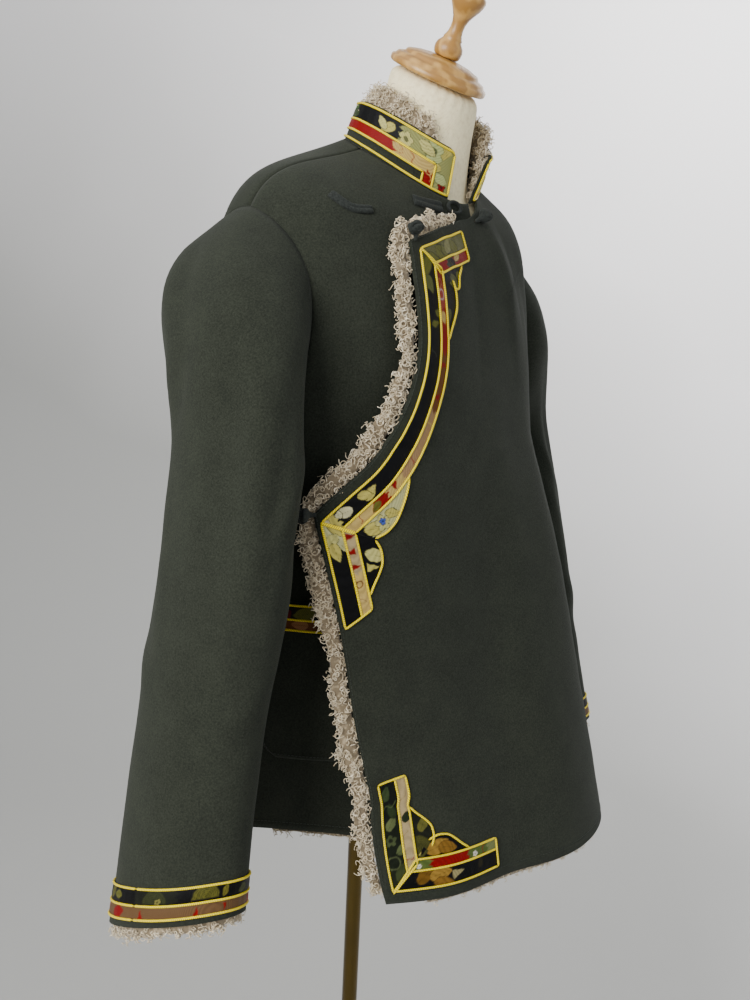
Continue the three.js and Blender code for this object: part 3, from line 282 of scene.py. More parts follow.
def varnished_wood():
    add, shade = new_material("varnished_rubberwood")
    place = add("TexCoord", "Object")
    grown = add("Mapping", "Vector", Vector=place, Rotation=(0.25, 0.9, 0.2), Scale=(60, 60, 7))
    rings = add(
        "TexWave", "Fac", wave_type="RINGS", Vector=grown, Scale=0.55, Distortion=7.0, Detail=4.0,
        Detail_Scale=1.6,
    )
    pores = add("TexNoise", "Fac", Vector=grown, Scale=6.0, Detail=6.0)
    grain = weighed(add, pores, 0.45, rings)
    return shade(
        Base_Color=toned(add, grain, (0.1, (0.57, 0.33, 0.09)), (1, (0.35, 0.175, 0.036))),
        Roughness=add("MapRange", "Result", Value=pores, To_Min=0.3, To_Max=0.48),
        Coat_Weight=0.2, Coat_Roughness=0.25,
    )


wood = varnished_wood()
hem_z_mm = 760
neck_tilt = math.radians(27)
neck_top = Vector((0, -61, hem_z_mm + 762)) * MM
seam_mm = 0.4
cap_profile = [
    (0, 0), (47, 0), (48.6, 1), (49, 2.5), (49, 5), (48, 6.4), (46, 7.2), (45.2, 8.6), (44, 10.2),
    (40, 11.6), (38, 12.4), (37.4, 14), (36, 15.6), (26, 18.4), (15, 19.8), (0, 20),
]
finial_profile = [
    (0, 0), (11, 0), (12.6, 1.5), (13.7, 4.5), (13.9, 8), (12.8, 11.5), (10.2, 14.4), (9.2, 16), (9.4, 17.4),
    (8.4, 19), (7.1, 22), (6.5, 26), (6.7, 31), (8.2, 36), (11, 41), (14.2, 46), (16.3, 50.5), (17, 54),
    (16.4, 56.6), (14.6, 58.4), (12, 59.4), (11, 60.4), (11.4, 62), (12.9, 64.6), (13.2, 67.4), (12.2, 71),
    (9.8, 74.4), (6, 77), (2.5, 77.9), (0, 78),
]
for name, node, profile, seat_mm in (
    ("neck_cap", "form_cap", cap_profile, seam_mm),
    ("neck_finial", "form_finial", finial_profile, cap_profile[-1][1] + 2 * seam_mm),
):
    bm = lathe(profile, 96)
    lean = Matrix.Rotation(neck_tilt, 4, "X")
    axis = lean @ Vector((0, 0, 1))
    bmesh.ops.transform(bm, matrix=Matrix.Translation(neck_top + axis * seat_mm * MM) @ lean, verts=bm.verts)
    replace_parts(piece_from(bm, name, wood, 60), node)

# --- the coat's cloth: back, under front and wrapped front ---
# Three panels of fulled wool, dark green-grey and 2.5 mm thick, sewn at the side seams and set over a
# fleece lining. The left front wraps over the right one, and its free edge stands off on the fleece.

chest_height = 420  # armpit line above the hem, in mm
chest_level = 0.55
cloth_mm = 2.5
stations = [-180, -150, -120, -100, -80, -60, -40, -20, 0, 20, 40, 60, 90, 120, 150]
body_rows = {  # height over the hem: radius of the body at each station angle
    0: [188, 200, 214, 192, 152, 136, 140, 170, 196, 248, 270, 254, 230, 226, 203],
    140: [175, 188, 204, 196, 168, 150, 148, 166, 178, 214, 239, 232, 220, 214, 188],
    280: [158, 172, 196, 196, 184, 170, 160, 154, 154, 178, 202, 207, 206, 200, 171],
    420: [140, 154, 182, 192, 191, 178, 158, 140, 134, 140, 158, 179, 190, 181, 154],
}
lift_stations = [-75, -60, -40, -20, 0, 20, 40, 60, 90]
lift_rows = {  # height over the hem: how far the wrapped front stands off at each station angle
    0: [90, 92, 84, 54, 28, 10, 4, 0, 0],
    140: [75, 68, 57, 24, 10, 6, 3, 0, 0],
    280: [52, 44, 31, 15, 8, 5, 3, 0, 0],
    420: [30, 27, 22, 13, 7.5, 5, 3, 0, 0],
    520: [22, 20, 17, 12, 7, 5, 3, 0, 0],
    600: [16, 15, 14, 10, 6.5, 5, 3, 0, 0],
    650: [14, 13, 12, 9, 6, 3.7, 0.6, 0, 0],
}
neckline = dict(half=72, front=66, back=60, y=-32, front_height=645, back_height=708, hump=14)
yoke = {  # how each quarter's shoulder curve leaves the armpit line and meets the neckline
    "side": dict(rise=0.96, swell=10, reach=0.85, drop=0.15),
    "front": dict(rise=0.45, swell=2, reach=0.33, drop=0.25),
    "back": dict(rise=0.5, swell=10, reach=0.56, drop=0.1),
}
folds = [  # start and end as (angle, level), half width and depth in mm
    ((24, 0.93), (40, 0.62), 20, 3.5),
    ((42, 0.84), (58, 0.6), 20, -3.5),
    ((44, 0.62), (30, 0.2), 30, 5),
    ((-70, 0.58), (-46, 0.55), 16, -2.5),
    ((-60, 0.66), (-64, 0.5), 18, -3),
    ((140, 0.5), (150, 0.02), 26, 7),
    ((-142, 0.5), (-152, 0.02), 26, 7),
    ((175, 0.5), (178, 0.1), 30, -5),
]
fine_folds = [  # small creases that lie on the larger ones
    ((-58, 0.575), (-40, 0.545), 5, -1.1),
    ((-52, 0.60), (-38, 0.585), 7, 0.8),
    ((28, 0.9), (36, 0.62), 8, 1.2),
    ((37, 0.9), (46, 0.64), 8, -1.4),
    ((50, 0.8), (60, 0.6), 8, 1.1),
    ((-70, 0.66), (-72, 0.53), 8, -1.8),
    ((62, 0.7), (66, 0.5), 9, -1.6),
    ((118, 0.72), (134, 0.56), 10, -1.8),
    ((-118, 0.72), (-134, 0.56), 10, -1.8),
    ((10, 0.3), (24, 0.04), 24, 1.6),
    ((-20, 0.28), (-14, 0.04), 20, -1.4),
]
mm_per_degree = 3.2
mm_per_level = 760


def smooth_table(places, values, at):
    """A smooth curve through places and values. Values may have a row for each place."""
    places = np.asarray(places, float)
    values = np.asarray(values, float)
    at = np.clip(at, places[0], places[-1])
    last = len(places) - 1
    i = np.clip(np.searchsorted(places, at, side="right") - 1, 0, last - 1)

    def value(k):
        return values[k] if values.ndim == 1 else values[k, np.arange(len(at))]

    def slope(k):
        low = np.maximum(k - 1, 0)
        high = np.minimum(k + 1, last)
        return (value(high) - value(low)) / (places[high] - places[low])

    span = places[i + 1] - places[i]
    t = (at - places[i]) / span
    start = value(i) * (2 * t**3 - 3 * t**2 + 1) + slope(i) * span * (t**3 - 2 * t**2 + t)
    return start + value(i + 1) * (3 * t**2 - 2 * t**3) + slope(i + 1) * span * (t**3 - t**2)


round_stations = [a - 360 for a in stations[-3:]] + stations + [a + 360 for a in stations[:3]]
fine_angles = np.linspace(-180, 180, 1441)
fine_radii = [
    smooth_table(round_stations, radii[-3:] + radii + radii[:3], fine_angles) for radii in body_rows.values()
]
fine_lifts = [smooth_table(lift_stations, lifts, fine_angles) for lifts in lift_rows.values()]


def body_radius(angle, height):
    turned_angle = (angle + 180) % 360 - 180
    at_rows = [np.interp(turned_angle, fine_angles, radii) for radii in fine_radii]
    return smooth_table(list(body_rows), at_rows, height)


def wrap_lift(angle, height):
    at_rows = [np.interp(angle, fine_angles, lifts) for lifts in fine_lifts]
    return smooth_table(list(lift_rows), at_rows, height)


def plain_body(angle, level):
    """Points of the body, in mm, at angles round from the centre front and levels up from the hem."""
    angle, level = np.broadcast_arrays(np.asarray(angle, float).ravel(), np.asarray(level, float).ravel())
    side = np.sin(np.radians(angle))
    fore = np.cos(np.radians(angle))
    height = np.clip(level / chest_level, 0, 1) * chest_height
    radius = body_radius(angle, height)
    x, y = radius * side, -radius * fore
    t = np.clip((level - chest_level) / (1 - chest_level), 0, 1)
    rise_of_neck = neckline["back_height"] - neckline["front_height"]
    neck_x = neckline["half"] * side
    neck_y = neckline["y"] - np.where(fore > 0, neckline["front"], neckline["back"]) * fore
    neck_height = neckline["front_height"] + rise_of_neck * (1 - fore) / 2 + neckline["hump"] * side**2
    side_share = np.abs(side) ** 1.2

    def mix(key):
        quarter = np.where(fore > 0, yoke["front"][key], yoke["back"][key])
        return side_share * yoke["side"][key] + (1 - side_share) * quarter

    climb = neck_height - chest_height
    away_x, away_y = x - neck_x, y - neck_y
    length = np.hypot(away_x, away_y)
    top = np.full_like(height, chest_height)
    slope = (body_radius(angle, top) - body_radius(angle, top - 20)) / 20
    swell = mix("swell") + slope * mix("rise") * climb * 0.6
    b0, b1, b2, b3 = (1 - t) ** 3, 3 * t * (1 - t) ** 2, 3 * t**2 * (1 - t), t**3
    reach = mix("reach")
    px = b0 * x + b1 * (x + swell * away_x / length) + b2 * (neck_x + reach * away_x) + b3 * neck_x
    py = b0 * y + b1 * (y + swell * away_y / length) + b2 * (neck_y + reach * away_y) + b3 * neck_y
    high = b0 * chest_height + b1 * (chest_height + mix("rise") * climb)
    pz = high + b2 * (neck_height - mix("drop") * climb) + b3 * neck_height
    pz = np.where(level <= chest_level, height, pz)
    return np.stack([px, py, pz + hem_z_mm], axis=-1)


def outward_of(surface, angle, level):
    step = surface(angle + 0.5, level) - surface(angle - 0.5, level)
    climb = surface(angle, np.minimum(level + 0.003, 1)) - surface(angle, np.maximum(level - 0.003, 0))
    normal = np.cross(step, climb)
    return normal / np.linalg.norm(normal, axis=1, keepdims=True)


def fold_depth(angle, level, table):
    here = np.stack([angle * mm_per_degree, level * mm_per_level], axis=-1)
    depth = np.zeros(len(here))
    for start, end, width, height in table:
        first = np.array([start[0] * mm_per_degree, start[1] * mm_per_level])
        along = np.array([end[0] * mm_per_degree, end[1] * mm_per_level]) - first
        share = np.clip((here - first) @ along / (along @ along), 0, 1)
        distance = np.linalg.norm(here - first - share[:, None] * along, axis=1)
        fade = np.sin(np.pi * (0.08 + 0.84 * share))
        depth += height * fade * np.exp(-((distance / width) ** 2))
    return depth


def swell_of(point):
    """The slow unevenness of heavy cloth over fleece."""
    x, y, z = point.T
    slow = np.sin(x / 31 + z / 47 + 1.3) * np.sin(y / 29 - z / 61 + 0.4)
    quick = np.sin(x / 13 - z / 19 + 2.1) * np.sin(y / 12 + z / 23 + 1.0)
    return 0.8 * slow + 0.28 * quick


def cloth_surface(lifted, creased=True):
    """A front's or back's outer face, in mm. The calm one has no small creases and no unevenness."""

    def surface(angle, level):
        angle, level = np.broadcast_arrays(np.asarray(angle, float).ravel(), np.asarray(level, float).ravel())
        plain = plain_body(angle, level)
        depth = fold_depth(angle, level, folds)
        if creased:
            depth = depth + fold_depth(angle, level, fine_folds) + swell_of(plain)
        if lifted:
            depth = depth + wrap_lift(angle, plain[:, 2] - hem_z_mm)
        return plain + outward_of(plain_body, angle, level) * depth[:, None]

    return surface


under_surface = cloth_surface(lifted=False)
wrap_surface = cloth_surface(lifted=True)
calm_under = cloth_surface(lifted=False, creased=False)
calm_wrap = cloth_surface(lifted=True, creased=False)

armhole = dict(bottom=0.53, top=0.748, reach=24)
side_angle = 90
under_edge_angle = 12
hem_raise = dict(right=0.03, left=0.0, until=0.18)
side_edge = ([0, 0.109, 0.215, 0.351, 0.476], [-29.6, -38.2, -49.1, -56.1, -63.4])
breast_edge = (
    [0.476, 0.51, 0.538, 0.569, 0.604, 0.643, 0.697, 0.749, 0.785],
    [-63.4, -56.2, -50, -43.4, -38.9, -37.4, -38.9, -41.4, -43.1],
)
top_edge = ([0.785, 0.826, 0.885, 0.946, 0.969, 1], [-43.1, -36.9, -26.8, -8.6, 12, 25])
side_corner = side_edge[0][-1]
top_corner = breast_edge[0][-1]


armhole_middle = (armhole["top"] + armhole["bottom"]) / 2
armhole_half = (armhole["top"] - armhole["bottom"]) / 2


def armhole_opening(level):
    share = np.clip(np.abs((level - armhole_middle) / armhole_half), 0, 1)
    return armhole["reach"] * (1 - share**2.2) ** 0.6


def seam_angle(level):
    point = plain_body(np.full_like(level, side_angle), level)
    return np.degrees(seam_mm / 2 / np.hypot(point[:, 0], point[:, 1]))


def front_side(level):
    return side_angle - seam_angle(level) - armhole_opening(level)


breast_levels = np.linspace(0.4, 0.85, 451)
breast_heights = plain_body(np.full(451, -50.0), breast_levels)[:, 2]


def breast_height(level):
    """Heights of levels where the free edge crosses the breast, so that its curve has no corner there."""
    return np.interp(level, breast_levels, breast_heights)


def wrap_edge(level):
    level = np.asarray(level, float)
    low = smooth_table(*side_edge, level)
    middle = smooth_table(breast_height(breast_edge[0]), breast_edge[1], breast_height(level))
    high = smooth_table(*top_edge, level)
    return np.where(level <= side_corner, low, np.where(level <= top_corner, middle, high))


def mapped_grid(columns, rows, place, into=None, uv_scale=(1, 1)):
    """A bmesh grid whose places (u, v) from 0 to 1 are sent to points in mm. Its UV map holds u and v."""
    bm = into or bmesh.new()
    flat = bm.loops.layers.uv.get("UVMap") or bm.loops.layers.uv.new("UVMap")
    made = bmesh.ops.create_grid(bm, x_segments=columns, y_segments=rows, size=0.5)["verts"]
    u = np.array([vert.co.x + 0.5 for vert in made])
    v = np.array([vert.co.y + 0.5 for vert in made])
    points = place(u, v) * MM
    for face in {face for vert in made for face in vert.link_faces}:
        for loop in face.loops:
            loop[flat].uv = ((loop.vert.co.x + 0.5) * uv_scale[0], (loop.vert.co.y + 0.5) * uv_scale[1])
    for vert, point in zip(made, points):
        vert.co = point
    return bm


def spaced_levels(stops, counts):
    """Levels whose places v in 0..1 pass exactly through each stop."""
    marks = np.concatenate([[0], np.cumsum(counts)]) / sum(counts)
    return lambda v: np.interp(v, marks, stops)


panel_levels = spaced_levels(
    [0, side_corner, armhole["bottom"], armhole["top"], top_corner, 1], [52, 6, 34, 6, 26],
)
panel_rows = 124


def panel_place(surface, start, end, raise_at):
    def place(u, v):
        level = panel_levels(v)
        angle = start(level) * (1 - u) + end(level) * u
        raised = level + raise_at(u) * np.clip(1 - level / hem_raise["until"], 0, 1)
        seam = np.minimum(np.abs(angle - start(level)), np.abs(angle - end(level))) * mm_per_degree
        points = surface(angle, raised)
        pinch = 0.9 * np.exp(-((seam / 2.6) ** 2)) * sewn_share(angle, level)
        return points - outward_of(plain_body, angle, raised) * pinch[:, None]

    return place


def sewn_share(angle, level):
    """1 where a panel's edge is sewn to the next, 0 along free edges."""
    turned_angle = (angle + 180) % 360 - 180
    return np.where(np.abs(turned_angle) > 65, 1.0, 0.0)


def fulled_wool(name, dark, pale):
    add, shade = new_material(name)
    place = add("TexCoord", "Object")
    fibres = add("TexNoise", "Fac", Vector=place, Scale=640.0, Detail=5.0, Roughness=0.7)
    drift = add("TexNoise", "Fac", Vector=place, Scale=34.0, Detail=5.0)
    return shade(
        Base_Color=toned(add, weighed(add, drift, 0.22, fibres), (0.46, dark), (0.76, pale)),
        Roughness=0.95, Specular_IOR_Level=0.2, Sheen_Weight=0.05, Sheen_Roughness=0.6,
        Sheen_Tint=(0.75, 0.8, 0.7, 1), Normal=bumped(add, fibres, 0.55, 0.6),
    )


wool = fulled_wool("fulled_wool", (0.0093, 0.0113, 0.0075), (0.0245, 0.0286, 0.0195))


def cloth_piece(bm, name, node):
    """A wall of wool under a mapped grid."""
    piece = piece_from(bm, name, wool, smooth_angle=55)
    wall = piece.modifiers.new("wall", "SOLIDIFY")
    wall.thickness = cloth_mm * MM
    wall.offset = -1
    wall.use_even_offset = False
    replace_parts(piece, node)
    return piece


def steady(value):
    """A function that gives the same value everywhere."""
    return lambda at: np.full_like(np.asarray(at, float), value)


def back_raise(u):
    return hem_raise["left"] * (1 - u) + hem_raise["right"] * u


back_piece = cloth_piece(
    mapped_grid(84, panel_rows, panel_place(
        under_surface, lambda level: 2 * side_angle - front_side(level),
        lambda level: 180 + front_side(level), back_raise,
    )),
    "back_panel", "back",
)
under_piece = cloth_piece(
    mapped_grid(66, panel_rows, panel_place(
        under_surface, lambda level: -front_side(level), steady(under_edge_angle),
        steady(hem_raise["right"]),
    )),
    "under_front", "front_right",
)
wrap_piece = cloth_piece(
    mapped_grid(84, panel_rows, panel_place(wrap_surface, wrap_edge, front_side, steady(0))),
    "wrapped_front", "front_left",
)

# --- pocket ---
# A patch pocket of the same wool with a rounded lower edge, topstitched to the under front. Its mouth is
# open behind a brocade band.

pocket_angle = -63
pocket_half = 21.5
pocket_rows = ([0.138, 0.15, 0.172, 0.2, 0.27, 0.354], [0.7, 0.86, 0.96, 1, 1, 1])
pocket_low, pocket_high = pocket_rows[0][0], pocket_rows[0][-1]
pocket_height_mm = 164
pocket_gap = 0.7


def raised_on(surface, height):
    """Points standing a height above a surface."""

    def raised(angle, level):
        points = surface(angle, level)
        return points + outward_of(plain_body, angle, level) * height

    return raised


pocket_face = raised_on(under_surface, cloth_mm + pocket_gap)


def pocket_place(u, v):
    level = pocket_low + (pocket_high - pocket_low) * v
    angle = pocket_angle + pocket_half * smooth_table(*pocket_rows, level) * (2 * u - 1)
    points = pocket_face(angle, level)
    from_side = np.minimum(u, 1 - u) * 2 * pocket_half * mm_per_degree
    nearest = np.minimum(from_side, v * pocket_height_mm)
    sewn_down = 0.5 * np.exp(-((nearest / 2.0) ** 2)) - 0.35 * np.exp(-(((nearest - 3) / 1.2) ** 2))
    return points - outward_of(plain_body, angle, level) * sewn_down[:, None]


pocket_piece = cloth_piece(mapped_grid(40, 48, pocket_place), "pocket_patch", "pocket")

# --- sleeves ---
# One-piece sleeves of the same wool, eased into the armholes and hanging straight, with the fleece lining
# inside. They keep soft drag lines from the shoulder and short folds at the armpit and elbow.

sleeve_sections = {  # height over the hem, out from the middle, y, half width out and fore, swing
    "right": [
        (392, 233, -53, 40, 73, 0), (300, 245, -54, 42, 74, 4), (200, 259, -48, 42, 73, 9),
        (100, 274, -48, 43, 74, 14), (4, 290, -53, 46, 79, 20),
    ],
    "left": [
        (392, 240, 12, 40, 73, 0), (300, 256, -4, 42, 74, 5), (200, 271, -22, 42, 73, 10),
        (100, 284, -38, 43, 74, 15), (6, 296, -52, 46, 79, 20),
    ],
}
sleeve_folds = [  # start and end as (degrees round the sleeve, height), half width and depth in mm
    ((-70, 500), (60, 520), 62, -6.5),
    ((-115, 545), (0, 550), 48, -7.5),
    ((-18, 600), (-6, 500), 8, 2.8),
    ((-6, 505), (-34, 435), 8, 2.8),
    ((-34, 595), (-22, 500), 9, -3.6),
    ((-22, 505), (-50, 435), 9, -3.4),
    ((10, 605), (30, 520), 9, -3.0),
    ((40, 510), (54, 370), 11, -2.8),
    ((62, 520), (48, 250), 13, -2.6),
    ((80, 500), (70, 300), 11, 2.2),
    ((30, 560), (20, 330), 16, 1.8),
    ((120, 420), (60, 330), 10, -2.4),
    ((150, 400), (95, 290), 12, 2.0),
    ((-60, 430), (-20, 250), 14, -3.0),
    ((-90, 470), (-50, 330), 14, 2.6),
    ((110, 240), (40, 180), 14, -1.8),
    ((100, 200), (20, 130), 16, 1.6),
    ((-100, 260), (-20, 200), 14, -2.2),
    ((200, 430), (150, 330), 12, -2.6),
    ((70, 150), (60, 10), 22, 1.6),
    ((10, 170), (16, 10), 20, -1.4),
]
cap_end = 0.3  # the share of the rows between the armhole and the first section
cap_handle = 0.36
tuck_mm = 1.3  # how far a sleeve's or collar's edge is tucked under its seam


def unit(vectors):
    return vectors / np.maximum(np.linalg.norm(vectors, axis=-1, keepdims=True), 1e-12)


def armhole_point(side, turn):
    """Points and directions tucked under the armhole's edge, from the top round by the front."""
    lean = np.cos(turn)
    level = armhole_middle + armhole_half * lean
    kept = armhole_opening(level) + 0.2 * (1 - np.abs(lean) ** 6)
    angle = side * (side_angle - np.where(np.sin(turn) >= 0, 1, -1) * kept)
    tucked = level + 0.001 * lean * np.abs(lean) ** 7
    normal = outward_of(plain_body, angle, level)
    return under_surface(angle, tucked) - normal * tuck_mm, normal


def sleeve_ring(section, following, side, turn):
    """A ring of a sleeve, square to its run, and the run itself."""
    height, out_x, y, half_out, half_deep, swing = section
    centre = np.array([side * out_x, y, hem_z_mm + height])
    run = np.array([side * (following[1] - out_x), following[2] - y, following[0] - height])
    if following[0] > height:
        run = -run
    run = unit(run)
    fore = unit(np.array([0, -1, 0]) + run * run[1])
    fore = fore * math.cos(math.radians(swing)) - run * math.sin(math.radians(swing))
    out = unit(np.cross(fore, run))
    if out[0] * side < 0:
        out = -out
    ring = centre + half_out * np.cos(turn)[:, None] * out + half_deep * np.sin(turn)[:, None] * fore
    return ring, run


def sleeve_place(side, sections):
    def plain_place(u, v):
        turn = u * math.tau
        rings = []
        for k, section in enumerate(sections):
            following = sections[k + 1] if k + 1 < len(sections) else sections[k - 1]
            rings.append(sleeve_ring(section, following, side, turn))
        start, normal = armhole_point(side, turn)
        dip = np.radians(30 + 15 * (1 - np.cos(turn)))
        leave = unit(normal * (1, 1, 0)) * np.cos(dip)[:, None] - np.sin(dip)[:, None] * np.array([0, 0, 1])
        goal, run = rings[0]
        reach = np.linalg.norm(goal - start, axis=1, keepdims=True)
        first = start + leave * reach * cap_handle
        second = goal - run * reach * cap_handle
        t = np.clip(v / cap_end, 0, 1)[:, None]
        cap = (1 - t) ** 3 * start + 3 * t * (1 - t) ** 2 * first + 3 * t**2 * (1 - t) * second + t**3 * goal
        along = np.clip((v - cap_end) / (1 - cap_end), 0, 1) * (len(sections) - 1)
        ring_points = np.array([ring for ring, _ in rings])
        below = np.stack([
            smooth_table(range(len(sections)), ring_points[:, :, axis], along) for axis in range(3)
        ], axis=-1)
        return np.where(v[:, None] < cap_end, cap, below)

    def place(u, v):
        round_step = plain_place(u + 0.004, v) - plain_place(u - 0.004, v)
        down = plain_place(u, np.minimum(v + 0.004, 1)) - plain_place(u, np.maximum(v - 0.004, 0))
        outward = unit(np.cross(round_step, down)) * -side
        points = plain_place(u, v)
        height = points[:, 2] - hem_z_mm
        degrees = (u * 360 + 180) % 360 - 180
        depth = swell_of(points + side * 40) * 0.8
        for shift in (0, 360):
            depth = depth + sleeve_fold_depth(degrees + shift, height)
        settled = np.clip(v / 0.06, 0, 1) * np.clip((1 - v) / 0.01 + 0.35, 0, 1)
        seam_dip = 0.8 * np.exp(-((v / 0.012) ** 2))
        return points + outward * (depth * settled - seam_dip)[:, None]

    return place


def sleeve_fold_depth(degrees, height):
    here = np.stack([degrees, height], axis=-1)
    depth = np.zeros(len(here))
    for start, end, width, deep in sleeve_folds:
        along = np.array(end, float) - start
        share = np.clip((here - start) @ along / (along @ along), 0, 1)
        distance = np.linalg.norm(here - start - share[:, None] * along, axis=1)
        fade = np.sin(np.pi * (0.1 + 0.8 * share))
        depth += deep * fade * np.exp(-((distance / width) ** 2))
    return depth


sleeve_places = {}
for side_name, side in (("right", -1), ("left", 1)):
    sleeve_places[side_name] = sleeve_place(side, sleeve_sections[side_name])
    bm = mapped_grid(72, 96, sleeve_places[side_name])
    bmesh.ops.remove_doubles(bm, verts=bm.verts, dist=1e-5)
    bmesh.ops.recalc_face_normals(bm, faces=bm.faces)
    sleeve = cloth_piece(bm, f"sleeve_tube_{side_name}", f"sleeve_{side_name}")

# --- collar ---
# A stand collar of two layers of wool, sewn to the neckline and open at the front, with its upper corners
# clipped. The left end stands away from the neck and shows the fleece inside it.

collar = dict(right_end=-12, left_end=17, height=44, back_share=0.66, lean=-12, inward=5, flare=18)
collar_shares = (0.003, 0.997)
corner_clip_mm = 7


def collar_point(share, height):
    """Points of the collar's outer face, from its right end round to its left end."""
    share, height = np.broadcast_arrays(np.asarray(share, float).ravel(), np.asarray(height, float).ravel())
    angle = collar["right_end"] * (1 - share) + (collar["left_end"] - 360) * share
    base = plain_body(angle, 1)
    inward = np.stack([-base[:, 0], neckline["y"] - base[:, 1], np.zeros(len(base))], axis=-1)
    up = height / collar["height"]
    eased = np.clip((share - 0.82) / 0.18, 0, 1)
    leftness = eased**2 * (3 - 2 * eased)
    fore = (1 + np.cos(np.radians(angle))) / 2
    rise = 0.5 + height * (collar["back_share"] * (1 - fore) + fore)
    shift = np.stack([collar["flare"] * leftness * up, collar["lean"] * up, rise], axis=-1)
    uneven = np.sin(share * 31 + 0.5) * 0.5 + np.sin(share * 67) * 0.25
    return base + unit(inward) * (0.9 + collar["inward"] * up + uneven * up)[:, None] + shift


def collar_normal(share, height):
    round_step = collar_point(share + 0.004, height) - collar_point(share - 0.004, height)
    rise = collar_point(share, height + 2) - collar_point(share, height - 2)
    return unit(np.cross(rise, round_step))


collar_length_mm = 384


def collar_top(share):
    """The height of the collar, less at its clipped corners."""
    from_end = np.minimum(share, 1 - share) * collar_length_mm
    return collar["height"] - np.clip(corner_clip_mm - from_end, 0, corner_clip_mm)


def collar_place(u, v):
    share = collar_shares[0] * (1 - u) + collar_shares[1] * u
    return collar_point(share, collar_top(share) * v - tuck_mm * (1 - v))


bm = mapped_grid(150, 16, collar_place)
bmesh.ops.reverse_faces(bm, faces=bm.faces)
collar_piece = cloth_piece(bm, "stand_collar", "collar")

# --- brocade trims: bands and gold cords ---
# Strips of satin brocade, a wide and a narrow one, are couched down between gold cords along the free edge,
# round the hem corner, the collar, the cuffs and the pocket's mouth. Each corner is mitred under a cord.

cord_mm = 2.2
wide_mm = 14.5
narrow_mm = 8.5
trim_mm = 3 * cord_mm + wide_mm + narrow_mm
margins = dict(curve=9, side=4, hem=9)  # plain cloth outside the trim
arm_mm = dict(top=82, side=106, hem_up=113, hem_along=122)  # where each arm ends, from its edge's corner
band_cell_mm = 0.8
arm_row_mm = 2.5
arm_rows = 30  # places in from an edge, a row each
ink = (4, 4, 8)


def linear(red, green, blue):
    """A linear colour from an sRGB one in 0..255."""
    return np.array([(channel / 255) ** 2.2 for channel in (red, green, blue)])


def walk_over(surface, angle, level, goal):
    """Places reached by going small steps, in mm, over a surface."""
    round_step = surface(angle + 0.5, level) - surface(angle - 0.5, level)
    climb = (surface(angle, level + 0.002) - surface(angle, level - 0.002)) * 250
    rr = (round_step**2).sum(axis=1)
    rc = (round_step * climb).sum(axis=1)
    cc = (climb**2).sum(axis=1)
    gr = (goal * round_step).sum(axis=1)
    gc = (goal * climb).sum(axis=1)
    determinant = rr * cc - rc * rc
    return angle + (gr * cc - gc * rc) / determinant, level + (gc * rr - gr * rc) / determinant


def edge_arm(calm, face, angles, levels, inward_is_up=False):
    """A line of places with its lengths, and the places in from it over the cloth."""
    points = calm(angles, levels)
    normals = outward_of(calm, angles, levels)
    runs = unit(np.gradient(points, axis=0))
    across = unit(np.cross(normals, runs))
    if inward_is_up:
        inward = calm(angles, levels + 0.004) - points
    else:
        inward = calm(angles + 0.5, levels) - points
    across *= np.sign((across * inward).sum(axis=1, keepdims=True))
    lengths = np.concatenate([[0], np.cumsum(np.linalg.norm(np.diff(points, axis=0), axis=1))])
    rows = [(angles, levels)]
    for _ in range(arm_rows):
        rows.append(walk_over(calm, *rows[-1], across * arm_row_mm))
    places = np.array(rows)
    return dict(face=face, lengths=lengths, places=places, run=runs[0])


def lay_on(arm):
    """Sends (length along the arm, distance in from its edge, height) to points and normals."""
    columns = len(arm["lengths"])

    def lay(along, distance, height=0.0):
        column = np.interp(along, arm["lengths"], np.arange(columns))
        row = np.clip(distance / arm_row_mm, 0, arm_rows)
        i = np.minimum(row.astype(int), arm_rows - 1)
        j = np.minimum(column.astype(int), columns - 2)
        up, right = row - i, column - j
        table = arm["places"]
        low = table[i, :, j] * (1 - right)[:, None] + table[i, :, j + 1] * right[:, None]
        high = table[i + 1, :, j] * (1 - right)[:, None] + table[i + 1, :, j + 1] * right[:, None]
        angle, level = (low * (1 - up)[:, None] + high * up[:, None]).T
        normal = outward_of(plain_body, angle, level)
        return arm["face"](angle, level) + normal * np.reshape(height, (-1, 1)), normal

    return lay


def mitre(arm, margin, other, other_margin):
    """Where the mitre between two arms lies along the first, at a distance in from its edge."""
    cosine = float(np.dot(arm["run"], other["run"]))
    sine = math.sqrt(1 - cosine**2)

    def along(distance):
        other_distance = distance - margin + other_margin
        return (other_distance + distance * cosine) / sine

    return along


twist_mm = 3.4  # the length of one turn of a cord's plies


def cord_on(bm, lay, along, distance, length_mm, rise=0.25):
    """Adds a round cord on a line. along and distance give its places for shares 0..1."""
    columns = max(6, int(length_mm / cord_mm))
    around = 8
    radius = cord_mm / 2

    def place(u, v):
        line, back_to = np.unique(np.round(u, 6), return_inverse=True)
        points, normals = lay(along(line), distance(line))
        before, _ = lay(along(line - 0.002), distance(line - 0.002))
        after, _ = lay(along(line + 0.002), distance(line + 0.002))
        side = unit(np.cross(normals, after - before))[back_to]
        points, normals = points[back_to], normals[back_to]
        end_mm = np.minimum(u, 1 - u) * length_mm
        thin = np.sqrt(np.clip(1 - np.clip(1 - end_mm / 0.9, 0, 1) ** 2, 0.02, 1))[:, None] * radius
        turn = (v * math.tau)[:, None]
        return points + normals * (radius + rise) + (side * np.cos(turn) + normals * np.sin(turn)) * thin

    mapped_grid(columns, around, place, into=bm, uv_scale=(length_mm / twist_mm, 1))


def straight_cord(bm, lay, start, end, at, length_mm):
    """Adds a cord between two places along, at one distance in."""
    cord_on(bm, lay, lambda u: start + u * (end - start), steady(at), length_mm)


